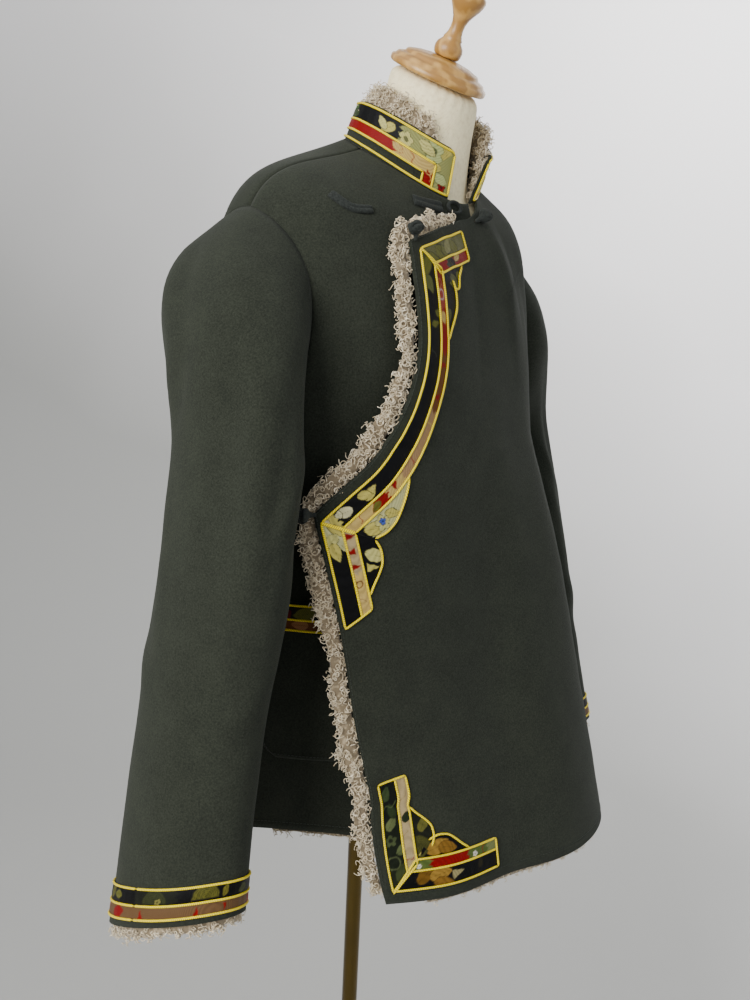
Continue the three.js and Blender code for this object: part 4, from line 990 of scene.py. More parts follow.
def gold_cord():
    add, shade = new_material("gold_cord")
    plies = add(
        "TexWave", "Fac", wave_type="BANDS", bands_direction="DIAGONAL", Vector=add("TexCoord", "UV"),
        Scale=math.tau / 5,
    )
    fibres = add("TexNoise", "Fac", Vector=add("TexCoord", "Object"), Scale=420.0, Detail=3.0)
    twist = bumped(add, plies, 0.8, 0.4)
    return shade(
        # The ply bands are painted: dark in the grooves between plies as painted shade, bright on their
        # crests as painted highlight.
        Base_Color=toned(add, plies, (0, (0.42, 0.25, 0.004)), (0.55, (0.98, 0.80, 0.02))),
        Roughness=0.42, Specular_Tint=(1.0, 0.85, 0.3, 1), Normal=bumped(add, fibres, 0.3, 0.2, Normal=twist),
    )


gold = gold_cord()


def cords_piece(bm, name):
    bmesh.ops.remove_doubles(bm, verts=bm.verts, dist=1e-6)
    bmesh.ops.recalc_face_normals(bm, faces=bm.faces)
    return piece_from(bm, name, gold, 180)


def satin_brocade():
    add, shade = new_material("satin_brocade")
    figure = add("VertexColor", "Color", layer_name="figure")
    turned_place = add("Mapping", "Vector", Vector=add("TexCoord", "Object"), Rotation=(0.3, 0.2, 0.6))
    weave = woven(add, turned_place, 1400)
    grain = add("MapRange", "Result", Value=weave, To_Min=0.6, To_Max=1.05)
    figured_grain = add(
        "Mix", "Result", data_type="RGBA", blend_type="MULTIPLY", Factor=1.0, A=figure, B=grain,
    )
    return shade(
        Base_Color=figured_grain, Roughness=0.5, Specular_IOR_Level=0.14,
        Normal=bumped(add, weave, 0.35, 0.4),
    )


brocade = satin_brocade()


def petal_shape(x, y, length, width):
    """Above 0 inside a pointed petal that starts at the origin and runs along x."""
    share = np.clip(x / length, 0, 1)
    half = width / 2 * np.sin(np.pi * share**0.8) ** 0.8
    beyond = np.maximum(np.maximum(-x, x - length), 0)
    return half - np.abs(y) - beyond


def flower_shape(x, y, radius, petals):
    bearing = np.arctan2(y, x)
    return radius * (0.62 + 0.38 * np.abs(np.cos(bearing * petals / 2))) - np.hypot(x, y)


def figured(motifs, ground, along, across, wander=0.35):
    """Colours of a band at places in mm. A motif is (kind, along, across, size, turn, fill, line)."""
    along = along + wander * np.sin(across * 0.9 + along * 0.21)
    colour = np.tile(linear(*ground[0][1]), (len(along), 1))
    for start, tone in ground[1:]:
        edge = start + 1.6 * np.sin(across * 1.1 + start) + 0.8 * np.sin(across * 2.7 + start * 2)
        share = np.clip((along - edge) * 1.5 + 0.5, 0, 1)[:, None]
        colour = colour * (1 - share) + linear(*tone) * share
    for kind, at, up, size, turn, fill, line in motifs:
        near = np.abs(along - at) < size + 2
        x0 = along[near] - at
        y0 = across[near] - up
        bend = math.radians(turn)
        x = x0 * math.cos(bend) + y0 * math.sin(bend)
        y = y0 * math.cos(bend) - x0 * math.sin(bend)
        painted = colour[near]
        if kind == "petal":
            inside = petal_shape(x, y, size, size * 0.55)
            vein = 0.3 - np.abs(y)
        elif kind == "flower":
            inside = flower_shape(x, y, size / 2, 5)
            vein = 0.18 * size - np.hypot(x, y)
        elif kind == "fan":
            inside = np.minimum(size / 2 - np.hypot(x, y), y + 0.6)
            vein = np.cos(np.hypot(x, y) * 3.4) - 0.45
        elif kind == "ring":
            inside = 0.55 - np.abs(np.hypot(x, y) - size / 2)
            vein = np.full_like(x, -1)
        elif kind == "spike":
            inside = np.minimum(size * 0.32 * (1 - x / size) - np.abs(y), x)
            vein = np.full_like(x, -1)
        else:  # a curling line
            inside = np.minimum(0.42 - np.abs(y - 1.6 * np.sin(x * 0.55)), size / 2 - np.abs(x))
            vein = np.full_like(x, -1)
        edge = np.clip((inside + 0.7) * 2.5, 0, 1)[:, None]
        if kind in ("petal", "flower", "fan"):
            painted = painted * (1 - edge) + linear(*line) * edge
        fill_share = np.clip(inside * 2.5 + 0.5, 0, 1)[:, None]
        painted = painted * (1 - fill_share) + linear(*fill) * fill_share
        vein_share = np.clip(vein * 2.5, 0, 1)[:, None] * fill_share * 0.8
        colour[near] = painted * (1 - vein_share) + linear(*line) * vein_share
    return colour


def band_on(lay, along, low, high, length_mm, width_mm, design, name, node, height=0.85):
    """A band of brocade. along(u, distance) gives places along; low and high bound its distances."""
    columns = max(8, int(length_mm / band_cell_mm))
    rows = max(8, int(width_mm / band_cell_mm))
    places = {}

    def place(u, v):
        inner = low(u) if callable(low) else low
        outer = high(u) if callable(high) else high
        distance = inner + (outer - inner) * v
        length = along(u, distance)
        pillow = 0.3 + height * np.clip(np.minimum(v, 1 - v) * 14, 0, 1)
        pillow = pillow + 0.3 * np.sin(np.pi * v) + 0.12 * np.sin(length * 0.5) * np.sin(length * 0.13)
        points, _ = lay(length, distance, pillow)
        places["colour"] = figured(*design, length, distance - np.min(inner))
        return points

    bm = mapped_grid(columns, rows, place)
    bmesh.ops.recalc_face_normals(bm, faces=bm.faces)
    piece = piece_from(bm, name, brocade, 60)
    figure = piece.data.color_attributes.new("figure", "FLOAT_COLOR", "POINT")
    colours = np.concatenate([places["colour"], np.ones((len(places["colour"]), 1))], axis=1)
    figure.data.foreach_set("color", colours.astype(np.float32).ravel())
    if node:
        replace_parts(piece, node)


# --- trim of the wrapped front's edge ---
# It starts under the neck closure, turns down at the top corner, follows the curve and turns down again at
# the side corner. Each arm is a pair of bands, cut on the mitres.

arm_columns = 150  # places along an arm


def free_edge_arm(start, end):
    levels = np.linspace(start, end, arm_columns)
    return edge_arm(calm_wrap, wrap_surface, wrap_edge(levels), levels)


olive = (98, 98, 38)
pale_gold = (190, 178, 92)
deep_green = (38, 48, 30)
cream = (194, 166, 98)
crimson = (134, 0, 3)
rust = (104, 62, 30)
near_black = (5, 5, 9)
blue = (70, 92, 176)
rose = (206, 160, 160)
straw = (196, 190, 116)
moss = (84, 86, 48)
fern = (92, 90, 36)
sage = (52, 56, 30)
pale_green = (146, 148, 90)
bronze = (150, 116, 48)

top_arm = free_edge_arm(top_corner + 0.0005, 0.985)
curve_arm = free_edge_arm(top_corner - 0.0005, side_corner + 0.0005)
curve_end_arm = free_edge_arm(side_corner + 0.0005, top_corner - 0.0005)
side_arm = free_edge_arm(side_corner - 0.0005, 0.27)
low_arm = free_edge_arm(0.0005, 0.21)
hem_angles = side_edge[1][0] + np.linspace(0.02, 36, arm_columns)
hem_arm = edge_arm(calm_wrap, wrap_surface, hem_angles, np.full(arm_columns, 0.0005), inward_is_up=True)


band_lines = (  # name, inner and outer distance from the trim's edge
    ("wide", cord_mm / 2, 1.5 * cord_mm + wide_mm),
    ("narrow", 1.5 * cord_mm + wide_mm, 2.5 * cord_mm + wide_mm + narrow_mm),
)
cord_lines = (cord_mm / 2, 1.5 * cord_mm + wide_mm, 2.5 * cord_mm + wide_mm + narrow_mm)
mid_trim_mm = 12.0
end_cord_inset = 0.6
end_cord_rise = 0.45


def mitred_trim(name, arms):
    """Bands and cords of arms that meet at mitres. An arm is (arm, start, end, margin, designs)."""
    cords = bmesh.new()
    node = name
    for k, (arm, start, end, margin, designs) in enumerate(arms, 1):
        lay = lay_on(arm)

        def along(u, distance):
            return start(distance) * (1 - u) + end(distance) * u

        def up_the_end(u):
            return margin + end_cord_inset + u * (trim_mm - 2 * end_cord_inset)

        length = float(end(margin + mid_trim_mm) - start(margin + mid_trim_mm))
        for (label, low, high), design in zip(band_lines, designs):
            band_on(
                lay, along, margin + low, margin + high, length, high - low, design,
                f"{name}_{label}_{k}", node,
            )
            node = None
        for at in cord_lines:
            cord_on(cords, lay, lambda u: along(u, margin + at), steady(margin + at), length)
        for finish in (start, end):
            cord_on(cords, lay, lambda u: finish(up_the_end(u)), up_the_end, trim_mm, rise=end_cord_rise)
    cords_piece(cords, f"{name}_cords")


curve_length = float(curve_arm["lengths"][-1])
curve_margin, side_margin, hem_margin = margins["curve"], margins["side"], margins["hem"]
top_mitre = mitre(top_arm, curve_margin, curve_arm, curve_margin)
curve_top_mitre = mitre(curve_arm, curve_margin, top_arm, curve_margin)
curve_low_mitre = mitre(curve_end_arm, curve_margin, side_arm, side_margin)
side_mitre = mitre(side_arm, side_margin, curve_end_arm, curve_margin)
low_mitre = mitre(low_arm, hem_margin, hem_arm, hem_margin)
hem_mitre = mitre(hem_arm, hem_margin, low_arm, hem_margin)

breast_designs = {
    "top": (
        ([
            ("petal", 6, 9, 26, 24, olive, near_black), ("petal", 26, 4, 24, 40, olive, near_black),
            ("petal", 40, 12, 22, -30, (128, 126, 78), near_black),
            ("petal", 54, 3, 18, 60, olive, near_black), ("curl", 34, 8, 14, 70, near_black, near_black),
        ], [(0, (96, 96, 58))]),
        ([
            ("petal", 2, 4, 14, 10, rose, crimson), ("petal", 44, 3, 12, 30, near_black, rust),
            ("petal", 54, 5, 10, -20, cream, near_black),
        ], [(0, crimson), (36, deep_green), (52, crimson)]),
    ),
    "curve": (
        ([
            ("petal", 14, 10, 22, -30, olive, near_black), ("petal", 30, 3, 18, 20, (92, 96, 52), near_black),
            ("petal", 62, 10, 12, 60, olive, deep_green), ("petal", 74, 4, 10, 100, olive, deep_green),
            ("curl", 96, 7, 8, 30, (56, 60, 50), near_black),
            ("petal", 232, 12, 16, 200, pale_gold, ink), ("petal", 236, 4, 15, 150, pale_gold, ink),
            ("petal", 246, 10, 18, -20, (214, 208, 160), ink), ("curl", 256, 5, 12, 50, ink, ink),
            ("flower", 276, 8, 18, 10, (206, 196, 150), ink), ("flower", 279, 8, 8, 0, blue, (40, 56, 120)),
            ("petal", 290, 4, 20, 30, pale_gold, ink), ("petal", 304, 12, 18, -40, straw, ink),
            ("flower", 316, 4, 9, 0, blue, (40, 56, 120)), ("petal", 330, 9, 18, 20, pale_gold, ink),
            ("petal", 344, 5, 16, 60, straw, ink),
        ], [(0, (74, 76, 46)), (18, near_black), (262, pale_gold)]),
        ([
            ("petal", 8, 3, 14, 20, cream, crimson), ("curl", 24, 4, 12, 30, cream, ink),
            ("petal", 34, 5, 12, -30, crimson, cream), ("ring", 48, 4, 8, 0, (190, 170, 176), ink),
            ("petal", 62, 4, 12, 10, cream, crimson), ("spike", 104, 1, 9, 90, crimson, crimson),
            ("spike", 128, 7, 9, -90, crimson, crimson), ("curl", 150, 4, 10, 60, cream, rust),
            ("curl", 182, 4, 9, 40, crimson, rust), ("spike", 206, 1, 8, 80, crimson, crimson),
            ("petal", 222, 4, 12, 20, olive, crimson), ("curl", 246, 4, 10, 50, crimson, rust),
            ("curl", 268, 4, 10, 20, crimson, rust), ("flower", 286, 4, 9, 0, (60, 70, 120), cream),
            ("curl", 300, 4, 10, 70, crimson, rust),
        ], [
            (0, crimson), (14, (120, 24, 28)), (40, (150, 60, 52)), (60, crimson), (96, rust),
            (140, (160, 128, 92)), (196, cream), (214, crimson), (228, cream), (312, crimson),
        ]),
    ),
    "side": (
        ([
            ("petal", 4, 6, 24, 30, pale_gold, ink), ("petal", 22, 12, 18, -60, straw, ink),
            ("petal", 28, 5, 18, 10, pale_gold, ink), ("petal", 34, 12, 14, 80, (190, 188, 130), ink),
        ], [(0, (196, 194, 140)), (36, near_black)]),
        ([
            ("petal", 6, 4, 16, 10, cream, crimson), ("spike", 26, 1, 10, 90, crimson, crimson),
            ("spike", 40, 7, 10, -90, crimson, crimson), ("spike", 54, 1, 9, 90, crimson, crimson),
            ("ring", 70, 4, 6, 0, rust, rust), ("curl", 84, 4, 8, 30, (150, 120, 80), rust),
        ], [(0, (150, 120, 96)), (20, (176, 156, 116)), (60, cream)]),
    ),
}


def curve_end(distance):
    return curve_length - curve_low_mitre(distance)


def side_arm_end(distance):
    return arm_mm["side"] - 0.4 * (distance - side_margin)


mitred_trim("breast_trim", [
    (top_arm, top_mitre, steady(arm_mm["top"]), curve_margin, breast_designs["top"]),
    (curve_arm, curve_top_mitre, curve_end, curve_margin, breast_designs["curve"]),
    (side_arm, side_mitre, side_arm_end, side_margin, breast_designs["side"]),
])

# --- trim of the hem corner ---
# An L of the same bands in the lower corner of the wrapped front, mitred, with cords across both ends.

hem_designs = {
    "up": (
        ([
            ("petal", 16, 8, 20, 20, (58, 66, 38), (20, 24, 18)),
            ("ring", 36, 6, 12, 0, (84, 92, 60), deep_green),
            ("petal", 44, 10, 18, 60, (86, 96, 60), (24, 30, 20)),
            ("flower", 58, 6, 12, 0, (70, 80, 50), ink),
            ("petal", 68, 4, 16, 30, (96, 104, 66), (24, 30, 20)),
            ("petal", 80, 12, 16, -20, (44, 56, 34), ink),
            ("curl", 92, 7, 16, 70, (84, 96, 60), ink), ("petal", 96, 3, 14, 20, (58, 72, 44), ink),
        ], [(0, (34, 38, 24)), (30, (26, 32, 20)), (74, (20, 24, 18))]),
        ([
            ("curl", 16, 4, 9, 70, crimson, crimson), ("curl", 36, 4, 9, 60, crimson, crimson),
            ("petal", 74, 3, 14, 40, deep_green, ink), ("curl", 62, 4, 8, 20, (150, 130, 90), rust),
            ("curl", 96, 4, 10, 30, (150, 130, 90), rust),
        ], [(0, (150, 110, 76)), (14, (172, 152, 112))]),
    ),
    "along": (
        ([
            ("petal", 30, 5, 22, 40, (108, 78, 24), (40, 26, 12)),
            ("petal", 42, 9, 24, 10, bronze, (56, 38, 16)),
            ("petal", 46, 4, 22, -10, (126, 92, 34), (56, 38, 16)),
            ("spike", 66, 8, 14, 10, (150, 140, 96), bronze),
            ("petal", 98, 6, 10, 70, (44, 40, 24), near_black),
        ], [(0, near_black)]),
        ([
            ("curl", 20, 4, 14, 30, (110, 14, 18), crimson), ("flower", 32, 4, 5, 0, (224, 222, 206), olive),
            ("flower", 94, 4, 6, 0, (224, 222, 206), olive), ("curl", 104, 4, 12, 60, crimson, crimson),
        ], [(0, (84, 100, 48)), (44, crimson), (86, (84, 100, 48)), (110, (120, 128, 80))]),
    ),
}
mitred_trim("hem_corner_trim", [
    (low_arm, low_mitre, steady(arm_mm["hem_up"]), hem_margin, hem_designs["up"]),
    (hem_arm, hem_mitre, steady(arm_mm["hem_along"]), hem_margin, hem_designs["along"]),
])

# --- scalloped corner pieces ---
# A double scallop of brocade fills the inside of each corner, edged with one gold cord.

scallop_start = trim_mm + 0.6
scallop_run = [0, 11, 20, 30, 40, 49, 56, 60]
scallop_out = [15.5, 18.6, 18.9, 17.2, 12, 6, 2, 0.2]


def scallop_piece(name, *halves):
    """A half is (arm, mitre, margin, distance from the corner to the lobe, stretch of the lobe, design)."""
    cords = bmesh.new()
    node = name
    for k, (arm, meets, margin, inner, stretch, design) in enumerate(halves, 1):
        lay = lay_on(arm)
        edge = margin + scallop_start
        corner_at = float(meets(np.array([edge + scallop_out[0]]))[0])
        far = inner + scallop_run[-1] * stretch
        lobe_mm = far - corner_at

        def lobe_line(u):
            return corner_at + lobe_mm * u

        def lobe_edge(u):
            return edge + smooth_table(scallop_run, scallop_out, np.clip(u, 0, 1) * scallop_run[-1])

        band_on(
            lay, lambda u, distance: meets(distance) * (1 - u) + far * u, edge - 1.0, lobe_edge,
            lobe_mm + 8, 20, design, f"{name}_{k}", node, height=0.5,
        )
        node = None
        cord_on(cords, lay, lobe_line, lambda u: lobe_edge(u) - 0.6, lobe_mm)
    cords_piece(cords, f"{name}_cord")


olive_lobe = ([
    ("petal", 20, 10, 24, 30, olive, ink), ("petal", 36, 4, 20, 60, moss, ink),
    ("petal", 48, 8, 14, 0, olive, ink),
], [(0, near_black)])
dark_lobe = ([
    ("petal", 26, 12, 14, 40, olive, ink), ("petal", 60, 6, 16, -30, moss, ink),
], [(0, near_black)])
pale_lobe = ([
    ("petal", 24, 4, 22, 30, pale_gold, ink), ("flower", 42, 10, 16, 0, straw, ink),
    ("flower", 43, 9, 7, 0, blue, ink), ("petal", 50, 4, 14, 50, pale_gold, ink),
], [(0, near_black), (28, (190, 188, 132))])
leaf_lobe = ([
    ("petal", 44, 4, 22, 60, straw, ink), ("spike", 58, 3, 12, 80, pale_gold, ink),
], [(0, near_black)])
fern_lobe = ([
    ("fan", 44, 2, 26, 0, (74, 74, 34), (36, 38, 20)), ("petal", 60, 6, 18, 30, (96, 94, 44), ink),
    ("ring", 30, 10, 14, 0, (64, 66, 36), ink),
], [(0, (30, 32, 22))])
bronze_lobe = ([
    ("petal", 40, 4, 26, 20, bronze, (56, 38, 16)), ("petal", 52, 8, 22, -10, (126, 92, 34), (56, 38, 16)),
    ("spike", 30, 4, 12, 60, pale_gold, bronze),
], [(0, near_black)])

scallop_piece(
    "scallop_breast", (top_arm, top_mitre, curve_margin, 26, 0.62, olive_lobe),
    (curve_arm, curve_top_mitre, curve_margin, 26, 1.0, dark_lobe),
)
scallop_piece(
    "scallop_side", (curve_end_arm, curve_low_mitre, curve_margin, 22, 1.0, pale_lobe),
    (side_arm, side_mitre, side_margin, 22, 1.0, leaf_lobe),
)
scallop_piece(
    "scallop_hem", (low_arm, low_mitre, hem_margin, 28, 1.0, fern_lobe),
    (hem_arm, hem_mitre, hem_margin, 28, 1.0, bronze_lobe),
)

# --- trims of the collar, cuffs and pocket ---
# The same cords and bands in other widths: two bands round the collar that turn down at its front end, two
# round each cuff and two across the pocket's mouth.


def straight_trim(name, cords_name, lay, length_mm, lines, designs):
    """Bands and cords along the whole of a piece. lines are the cords' distances across it."""
    cords = bmesh.new()
    node = name
    for k, (low, high, design) in enumerate(zip(lines, lines[1:], designs), 1):
        band_on(
            lay, lambda u, distance: u * length_mm, low, high, length_mm, high - low, design,
            f"{name}_band_{k}", node,
        )
        node = None
    for at in lines:
        straight_cord(cords, lay, 0, length_mm, at, length_mm)
    cords_piece(cords, cords_name)


cuff_round_mm = 398.0
cuff_row_mm = 96.0 / 0.98  # the sleeve's length between two sections, near the cuff
cuff_lines = (7.1, 19.3, 34.0)


def lay_on_sleeve(place):
    """Lengths run round the cuff and distances run up from its edge."""
    centre = place(np.arange(16) / 16, np.full(16, 0.97)).mean(axis=0)

    def lay(along, distance, height=0.0):
        u = along / cuff_round_mm
        v = 1 - (1 - cap_end) / 4 * distance / cuff_row_mm
        points = place(u, v)
        around = place(u + 0.003, v) - place(u - 0.003, v)
        down = place(u, v + 0.002) - place(u, v - 0.002)
        normal = unit(np.cross(around, down))
        normal = normal * np.sign((normal * (points - centre)).sum(axis=1, keepdims=True))
        return points + normal * np.reshape(height, (-1, 1)), normal

    return lay


cuff_wide = ([
    ("fan", 66, 4, 26, 0, fern, (44, 44, 20)), ("petal", 84, 3, 12, 70, (110, 104, 40), ink),
    ("fan", 20, 3, 22, 0, sage, (26, 30, 18)), ("flower", 24, 4, 6, 0, (120, 116, 60), ink),
    ("petal", 116, 9, 14, 200, (70, 74, 42), ink), ("petal", 150, 4, 18, 20, olive, ink),
    ("petal", 168, 9, 16, -30, moss, ink), ("fan", 214, 4, 24, 0, fern, (44, 44, 20)),
    ("petal", 250, 4, 18, 30, sage, ink), ("petal", 272, 9, 16, 200, olive, ink),
    ("fan", 318, 3, 26, 0, sage, (26, 30, 18)), ("petal", 352, 4, 16, 40, fern, ink),
    ("petal", 378, 8, 14, 180, olive, ink),
], [(0, (26, 28, 20)), (40, near_black)])
cuff_narrow = ([
    ("spike", 8, 1, 8, 90, crimson, crimson), ("spike", 58, 1, 8, 90, crimson, crimson),
    ("spike", 86, 9, 7, -90, crimson, crimson), ("petal", 122, 4, 22, 10, crimson, rust),
    ("petal", 134, 5, 20, 0, crimson, crimson), ("spike", 176, 1, 8, 90, crimson, crimson),
    ("curl", 200, 5, 10, 20, (150, 118, 84), rust), ("spike", 236, 9, 8, -90, crimson, crimson),
    ("petal", 262, 4, 22, 10, crimson, rust), ("spike", 300, 1, 8, 90, crimson, crimson),
    ("spike", 344, 9, 8, -90, crimson, crimson), ("petal", 366, 4, 18, 10, crimson, crimson),
], [(0, (104, 78, 52))])
for side_name, place in sleeve_places.items():
    straight_trim(
        f"cuff_trim_{side_name}", f"cuff_cords_{side_name}", lay_on_sleeve(place), cuff_round_mm,
        cuff_lines, (cuff_narrow, cuff_wide),
    )

pocket_length_mm = 146.0
pocket_level_mm = 762.0  # the height of a whole level beside the pocket


def lay_on_pocket(along, distance, height=0.0):
    half_mm = pocket_length_mm / 2
    angle = pocket_angle - pocket_half * (along / half_mm - 1)
    level = pocket_high - distance / pocket_level_mm
    normal = outward_of(calm_under, angle, level)
    return pocket_face(angle, level) + normal * np.reshape(height, (-1, 1)), normal


pocket_wide = ([
    ("petal", 10, 8, 20, 20, (92, 92, 48), ink), ("petal", 34, 4, 22, 30, (70, 74, 40), ink),
    ("petal", 52, 10, 20, -10, (110, 30, 34), ink), ("petal", 74, 6, 24, 10, olive, ink),
    ("petal", 100, 5, 18, 50, (96, 26, 30), ink), ("petal", 122, 9, 20, 10, (92, 92, 48), ink),
], [(0, (30, 32, 22)), (46, (52, 18, 22)), (66, (34, 32, 22))])
pocket_narrow = ([
    ("petal", 16, 4, 16, 20, (150, 90, 50), rust), ("petal", 44, 4, 14, 10, crimson, rust),
    ("spike", 64, 1, 9, 90, crimson, crimson), ("petal", 82, 5, 18, 0, (160, 110, 70), rust),
    ("petal", 110, 4, 16, 10, crimson, rust), ("curl", 132, 4, 10, 30, cream, rust),
], [(0, (128, 64, 36)), (60, rust)])
straight_trim(
    "pocket_trim", "pocket_cords", lay_on_pocket, pocket_length_mm, (2.1, 16.3, 27.0),
    (pocket_wide, pocket_narrow),
)


def lay_on_collar(along, distance, height=0.0):
    """Lengths run round the collar from its front end, and distances go up it."""
    share = collar_shares[0] + along / collar_length_mm * (collar_shares[1] - collar_shares[0])
    up = np.minimum(distance, collar_top(share) - 1.0)
    normal = collar_normal(share, up)
    return collar_point(share, up) + normal * np.reshape(height, (-1, 1)), normal


whole = collar_length_mm
collar_foot = 2.4
collar_turns = ((1.6, 41.5), (19.0, 23.8), (29.0, 12.1))  # each cord's distance from the end, and height
collar_wide = ([
    ("petal", 6, 4, 22, 60, pale_gold, deep_green), ("flower", 24, 9, 22, 0, (176, 184, 120), deep_green),
    ("petal", 38, 12, 18, 200, straw, ink), ("flower", 50, 6, 14, 20, straw, deep_green),
    ("petal", 62, 12, 16, -40, pale_gold, ink), ("petal", 70, 4, 14, 40, straw, ink),
    ("petal", 118, 10, 22, 20, (66, 96, 40), ink), ("petal", 130, 4, 20, 170, (52, 66, 34), ink),
    ("flower", 142, 12, 12, 0, (86, 104, 56), ink), ("petal", 150, 5, 24, 30, (120, 96, 66), ink),
    ("petal", 168, 10, 18, 10, (150, 30, 34), ink), ("petal", 200, 6, 22, 10, olive, ink),
    ("petal", 232, 10, 22, 190, (66, 96, 40), ink), ("flower", 262, 8, 18, 0, pale_gold, ink),
    ("petal", 296, 5, 22, 20, olive, ink), ("flower", 330, 10, 20, 0, straw, ink),
    ("petal", 356, 5, 22, 30, pale_gold, deep_green),
], [(0, pale_green), (56, near_black), (352, pale_green)])
collar_narrow = ([
    ("curl", 40, 5, 12, 60, crimson, crimson), ("petal", 50, 5, 12, 20, cream, crimson),
    ("petal", 152, 5, 12, 200, (232, 226, 214), crimson), ("petal", 190, 5, 14, 10, cream, crimson),
    ("petal", 240, 5, 14, 190, (232, 226, 214), crimson), ("curl", 300, 5, 12, 40, crimson, crimson),
], [(0, cream), (58, crimson), (326, cream)])
collar_end_wide = ([
    ("flower", 7, 8, 8, 0, crimson, ink), ("petal", 12, 4, 16, 80, (176, 184, 120), deep_green),
    ("petal", 22, 12, 16, 100, pale_gold, deep_green),
], [(0, pale_green)])
collar_end_narrow = ([("curl", 12, 5, 12, 30, cream, cream)], [(0, crimson), (14, cream)])


def collar_mitre(k):
    """The edges of the collar's k-th band, and where its mitre lies along and up it."""
    (near, high), (far, low) = collar_turns[k:k + 2]
    slope = (far - near) / (high - low)
    return (
        near, far, low, high, lambda height: near + (high - height) * slope,
        lambda distance: high - (distance - near) / slope,
    )


def lay_down_collar(from_left):
    """The same collar with lengths going up it and distances from one front end."""

    def lay(along, distance, height=0.0):
        return lay_on_collar(whole - distance if from_left else distance, along, height)

    return lay


collar_bands = (  # name, designs round the collar and at its ends, what the band lacks, length of its ends
    ("wide", collar_wide, collar_end_wide, 24, 39),
    ("narrow", collar_narrow, collar_end_narrow, 48, 21),
)
for k, (label, design, _, lacks_mm, _) in enumerate(collar_bands):
    _, _, low, high, mitre_along, _ = collar_mitre(k)
    band_on(
        lay_on_collar, lambda u, height: mitre_along(height) * (1 - u) + (whole - mitre_along(height)) * u,
        low, high, whole - lacks_mm, high - low, design, f"collar_band_{label}", None if k else "collar_trim",
    )
collar_cords = bmesh.new()
for end_number, from_left in enumerate((False, True), 1):
    lay = lay_down_collar(from_left)
    for k, (label, _, design, _, end_mm) in enumerate(collar_bands):
        near, far, _, _, _, mitre_up = collar_mitre(k)
        band_on(
            lay, lambda u, distance: collar_foot * (1 - u) + mitre_up(distance) * u, near, far, end_mm,
            far - near, design, f"collar_end_{label}_{end_number}", None,
        )
    for near, high in collar_turns:
        straight_cord(collar_cords, lay, collar_foot, high, near, high)
for near, high in collar_turns:
    straight_cord(collar_cords, lay_on_collar, near, whole - near, high, whole)
cords_piece(collar_cords, "collar_cords")
foot_cord = bmesh.new()
straight_cord(foot_cord, lay_on_collar, 0.8, whole - 0.8, collar_foot, whole)
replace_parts(cords_piece(foot_cord, "collar_foot_cord"), "collar_cord")

# --- knotted closures ---
# Chinese button knots and loops, hand-made from folded strips of dark wool cloth and sewn down flat. All
# three are left unfastened.

knot_cloth = fulled_wool("closure_cloth", (0.009, 0.011, 0.010), (0.026, 0.030, 0.027))
for node in ("neck_loop_tab", "neck_loop", "chest_loop", "side_loop", "neck_knot", "chest_knot", "side_knot"):
    copy_of_node(node, f"{node}_cloth", knot_cloth, 2 if node == "neck_loop" else 1)

knot_strip_mm = 2.1
knot_places = {  # from the stem to the ball, as (angle, level)
    "neck": ((9, 0.948), (22, 0.954)),
    "chest": ((-41.2, 0.789), (-43.6, 0.815)),
    "side": ((-62.6, 0.476), (-66.6, 0.477)),
}


def line_piece(name, lines, radius_mm, material, closed=False, resolution=0, tips=1.0):
    """Round strands through lines of points in mm, as one curve object."""
    curve = bpy.data.curves.new(name, "CURVE")
    curve.dimensions = "3D"
    curve.bevel_depth = radius_mm * MM
    curve.bevel_resolution = resolution
    curve.use_fill_caps = not closed
    curve.materials.append(material)
    for line in lines:
        spline = curve.splines.new("POLY")
        spline.points.add(len(line) - 1)
        placed = np.concatenate([line * MM, np.ones((len(line), 1))], axis=1)
        spline.points.foreach_set("co", placed.astype(np.float32).ravel())
        spline.points.foreach_set("radius", np.linspace(1, tips, len(line)).astype(np.float32))
        spline.use_cyclic_u = closed
        spline.use_smooth = True
    piece = in_scene(name, curve)
    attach(piece, "root")
    return piece


knot_lines = []
for start, end in knot_places.values():
    points = wrap_surface(np.array([start[0], end[0]]), np.array([start[1], end[1]]))
    normal = outward_of(plain_body, np.array([end[0]]), np.array([end[1]]))[0]
    run = unit(points[1] - points[0])
    across = np.cross(normal, run)
    middle = points[0] + (points[1] - points[0]) * 0.72 + normal * 6.4
    t = np.linspace(0, math.tau, 97)[:-1]
    dip = 0.95 * np.sin(3 * t)
    reach = 5.0 + 0.9 * np.cos(6 * t + 0.4)
    knot_lines.append(
        middle
        + (reach * np.sin(dip))[:, None] * run
        + (reach * np.cos(dip) * np.cos(2 * t))[:, None] * across
        + (reach * np.cos(dip) * np.sin(2 * t) * 0.9)[:, None] * normal
    )
line_piece("button_knots", knot_lines, knot_strip_mm, knot_cloth, closed=True, resolution=2)

# --- topstitching ---
# Rows of short stitches in a thread a shade darker than the wool run along the hems, round the pocket and
# beside the closures.

stitch_mm = 2.6
stitch_step_mm = 3.6
thread_rise = 0.12


def sewing_thread():
    _, shade = new_material("sewing_thread")
    return shade(Base_Color=(0.02, 0.024, 0.018, 1), Roughness=0.6)


def stitches_on(points):
    """Short lines along a dense line of points in mm."""
    lengths = np.concatenate([[0], np.cumsum(np.linalg.norm(np.diff(points, axis=0), axis=1))])
    found = []
    for start in np.arange(1.0, lengths[-1] - stitch_mm, stitch_step_mm):
        at = start + np.array([0, 0.5, 1]) * stitch_mm
        found.append(np.stack([np.interp(at, lengths, points[:, axis]) for axis in range(3)], axis=-1))
    return found


